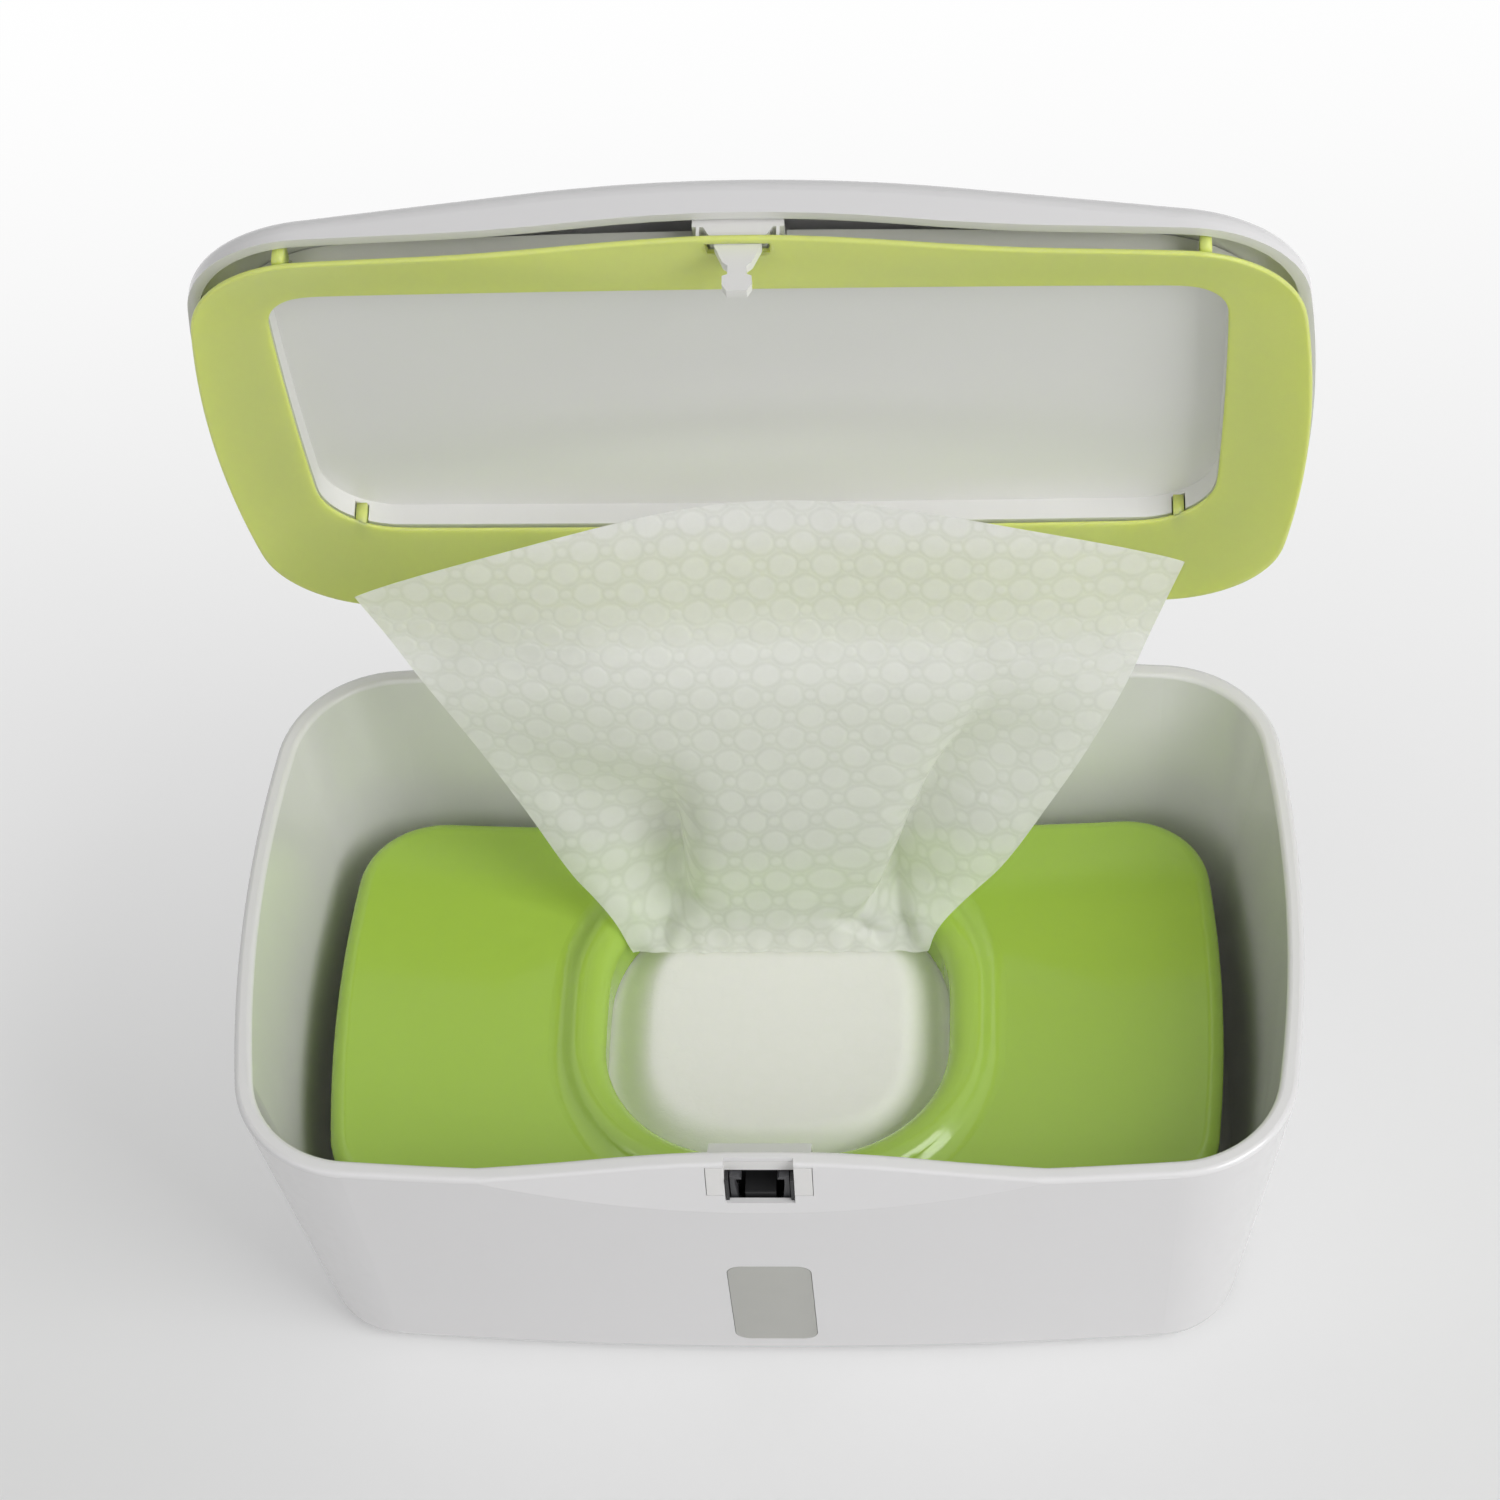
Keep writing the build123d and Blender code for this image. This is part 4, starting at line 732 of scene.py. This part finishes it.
# A fold has its line in x and z, its widths to the left and right, its depth, the heights over which
# it opens, the heights over which it fades, and how far the middle panel overlaps it
Fold = namedtuple("Fold", "line left_width right_width depth opens fades overlap")
WIPE_FOLDS = (
    Fold(line=((-0.0240, 0.046), (-0.0200, 0.058), (-0.0215, 0.080), (-0.030, 0.115)),
         left_width=0.0120, right_width=0.0030, depth=0.0155,
         opens=(0.0480, 0.0590), fades=(0.0620, 0.098), overlap=-0.0022),
    Fold(line=((0.0170, 0.044), (0.0205, 0.055), (0.0290, 0.078), (0.0430, 0.102), (0.054, 0.125)),
         left_width=0.0028, right_width=0.0105, depth=0.0140,
         opens=(0.0465, 0.0575), fades=(0.074, 0.120), overlap=0.0046),
    Fold(line=((-0.0265, 0.0405), (-0.0250, 0.047), (-0.0225, 0.052), (-0.0180, 0.055)),
         left_width=0.0060, right_width=0.0018, depth=0.0030,
         opens=(0.0405, 0.048), fades=(0.052, 0.057), overlap=0.0),
    Fold(line=((0.0235, 0.0395), (0.0205, 0.045), (0.0120, 0.050)),
         left_width=0.0018, right_width=0.0050, depth=0.0025,
         opens=(0.0405, 0.046), fades=(0.047, 0.053), overlap=0.0),
    Fold(line=((0.0310, 0.040), (0.0262, 0.049), (0.0235, 0.058)),
         left_width=0.0040, right_width=0.0016, depth=0.0040,
         opens=(0.0405, 0.047), fades=(0.052, 0.062), overlap=0.0),
)
# How much wider a fold is where it has faded, how far into the sheet the folds start at a side edge,
# and where the overlapping lip lies, how wide it is and its least width
FOLD_WIDENING = 1.2
FOLD_MARGIN = 0.10
LIP_SHIFT = 1.3
LIP_WIDTH = 1.6
LIP_LEAST = 0.0005


def line_at(points, z):
    """The x of a fold's line at a height."""
    for (x0, z0), (x1, z1) in zip(points, points[1:]):
        if z <= z1:
            break
    return x0 + (x1 - x0) * smoothstep((z - z0) / (z1 - z0), -0.2, 1.2)


def fan_point(across, up):
    """A place on the smooth fan that the drawn wipe fills, as x and z."""
    left, right = curve_at(WIPE_LEFT, up), curve_at(WIPE_RIGHT, up)
    x = left.x + (right.x - left.x) * across
    z = left.y + (right.y - left.y) * across
    return x, z + WIPE_CROWN * up ** 1.5 * math.sin(math.pi * across) ** 0.9


def wipe_point(across, up):
    """A place on the drawn wipe, from its foot to its top edge."""
    x, z = fan_point(across, up)
    back, aside = 0.0, 0.0
    inside = smoothstep(min(across, 1 - across), 0.0, FOLD_MARGIN)
    for fold in WIPE_FOLDS:
        step = x - line_at(fold.line, z)
        strength = smoothstep(z, *fold.opens) * (1 - smoothstep(z, *fold.fades)) * inside
        widening = 1 + FOLD_WIDENING * smoothstep(z, fold.opens[1], fold.fades[1])
        width = (fold.left_width if step < 0 else fold.right_width) * widening
        back += fold.depth * strength * math.exp(-abs(step / width) ** 1.8)
        lip = (step + LIP_SHIFT * fold.overlap) / (LIP_WIDTH * abs(fold.overlap) + LIP_LEAST)
        aside += fold.overlap * strength * math.exp(-lip ** 2)
    sunk = z - WIPE_SAG * back
    # The flanks swing back, slow waves run up the free part and small creases gather at the foot
    flank = abs(2 * across - 1)
    back += WIPE_SWING * math.sin(math.pi * up) * smoothstep(up, 0.04, 0.25) * flank ** 2
    back += WIPE_WAVE * up * math.sin(2 * math.pi * (1.7 * across + 0.4 * up))
    crinkle = WIPE_CRINKLE * (1 - smoothstep(up, 0.0, 0.35))
    back += crinkle * math.sin(44.0 * across + 5.0 * up) + crinkle * math.sin(71.0 * across - 11.0 * up)
    y = WIPE_FOOT_Y + (z - WIPE_FOOT_Z) * WIPE_LEAN + back
    return (x + aside, y, sunk)


def make_wipe():
    """The drawn wipe, a fan gathered into folds at its foot."""
    vertices = [wipe_point(column / WIPE_COLUMNS, row / WIPE_ROWS)
                for row in range(WIPE_ROWS + 1) for column in range(WIPE_COLUMNS + 1)]
    faces = []
    for row in range(WIPE_ROWS):
        for column in range(WIPE_COLUMNS):
            a = row * (WIPE_COLUMNS + 1) + column
            faces.append((a, a + 1, a + WIPE_COLUMNS + 2, a + WIPE_COLUMNS + 1))
    wipe = new_piece("drawn_wipe", vertices, faces, WIPE_CLOTH)
    # The emboss keeps its size over the whole fan
    flat = wipe.data.uv_layers.new(name="flat")
    for loop in wipe.data.loops:
        row, column = divmod(loop.vertex_index, WIPE_COLUMNS + 1)
        x, z = fan_point(column / WIPE_COLUMNS, row / WIPE_ROWS)
        flat.data[loop.index].uv = (WIPE_MAP_START + x, WIPE_MAP_START + z * math.hypot(1, WIPE_LEAN))
    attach(wipe, "plate")
    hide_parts("pulled_wipe")
    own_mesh(wipe)


make_wipe()


# The floor's half size, how far its fade leans to the side, and the distances in metres over which
# it fades behind and around
FLOOR_HALF = 6.0
FADE_LEAN = 0.06
FADE_BEHIND = (-0.27, 0.42)
FADE_AROUND = (0.55, 1.2)


def seen_share(start):
    """1 for what the camera sees straight, in a gloss or through the cloth, and 0 for the light itself."""
    straight = start.node("ShaderNodeLightPath")
    outputs = straight.socket.node.outputs
    return (straight + Wire(start.tree, outputs["Is Glossy Ray"])
            + Wire(start.tree, outputs["Is Transmission Ray"])).between(0.0, 1.0)


def floor_material():
    """A pale table that fades to white far off and keeps the shadow."""
    material, start = new_material("pale_floor")
    place = object_place(start)
    parts = start.node("ShaderNodeSeparateXYZ", values={0: place})
    depth = Wire(start.tree, parts.socket.node.outputs[1])
    behind = (depth - parts * FADE_LEAN).between(*FADE_BEHIND)
    around = (parts * parts + depth * depth).math("SQRT").between(*FADE_AROUND)
    far = behind.math("MAXIMUM", around)
    table = start.node("ShaderNodeBsdfDiffuse", values={"Color": colour(0.80, 0.80, 0.80)})
    white = start.node("ShaderNodeEmission", values={"Color": colour(1.0, 1.0, 1.0), "Strength": 1.0})
    fade = far * seen_share(start)
    shader = start.node("ShaderNodeMixShader", values={0: fade, 1: table, 2: white})
    return finish_material(material, start, shader)


floor_corners = [(x * FLOOR_HALF, y * FLOOR_HALF, 0) for x, y in ((-1, -1), (1, -1), (1, 1), (-1, 1))]
floor = new_piece("floor", floor_corners, [(0, 1, 2, 3)], floor_material(), smooth=False)


# Lamps, each as its name, place, size in metres and power in watts, the point that they all face,
# and the room's plain light
LAMPS = (
    ("key", (0.9, -0.55, 0.9), (0.8, 0.8), 10.3),
    ("front", (0.0, -1.2, 1.2), (1.0, 0.8), 2.0),
    ("left", (-0.8, -0.8, 0.8), (1.0, 0.8), 2.0),
)
LAMP_AIM = (0.0, 0.0, 0.05)
ROOM_LIGHT = 0.325


def add_lamp(name, place, size, power):
    """A large soft lamp that faces the object."""
    lamp = bpy.data.lights.new(name, "AREA")
    lamp.shape = "RECTANGLE"
    lamp.size, lamp.size_y = size
    lamp.energy = power
    holder = bpy.data.objects.new(name, lamp)
    holder.location = place
    holder.rotation_mode = "QUATERNION"
    holder.rotation_quaternion = (Vector(LAMP_AIM) - Vector(place)).to_track_quat("-Z", "Y")
    bpy.context.scene.collection.objects.link(holder)


for lamp_values in LAMPS:
    add_lamp(*lamp_values)

world = bpy.data.worlds.new("studio")
world.use_nodes = True
world.node_tree.nodes.clear()
sky = Wire(world.node_tree)
room = sky.node("ShaderNodeBackground", values={"Color": colour(1.0, 1.0, 1.0), "Strength": ROOM_LIGHT})
bright = sky.node("ShaderNodeBackground", values={"Color": colour(1.0, 1.0, 1.0), "Strength": 1.0})
backdrop = sky.node("ShaderNodeMixShader", values={0: seen_share(sky), 1: room, 2: bright})
sky.node("ShaderNodeOutputWorld", values={"Surface": backdrop})
bpy.context.scene.world = world

# Camera
lens = bpy.data.cameras.new("camera")
lens.sensor_width = SENSOR
lens.lens = FOCAL_SHARE * SENSOR
lens.clip_start = 0.01
camera = bpy.data.objects.new("camera", lens)
bpy.context.scene.collection.objects.link(camera)
forward = Vector((math.sin(CAMERA_YAW) * math.cos(CAMERA_PITCH),
                  math.cos(CAMERA_YAW) * math.cos(CAMERA_PITCH), -math.sin(CAMERA_PITCH)))
level = Vector((math.cos(CAMERA_YAW), -math.sin(CAMERA_YAW), 0.0))
upward = level.cross(forward)
side = level * math.cos(CAMERA_ROLL) + upward * math.sin(CAMERA_ROLL)
head = upward * math.cos(CAMERA_ROLL) - level * math.sin(CAMERA_ROLL)
turn = Matrix((side, head, -forward)).transposed().to_4x4()
camera.matrix_world = Matrix.Translation(CAMERA_PLACE) @ turn
bpy.context.scene.camera = camera
bpy.context.scene.view_settings.view_transform = "Standard"
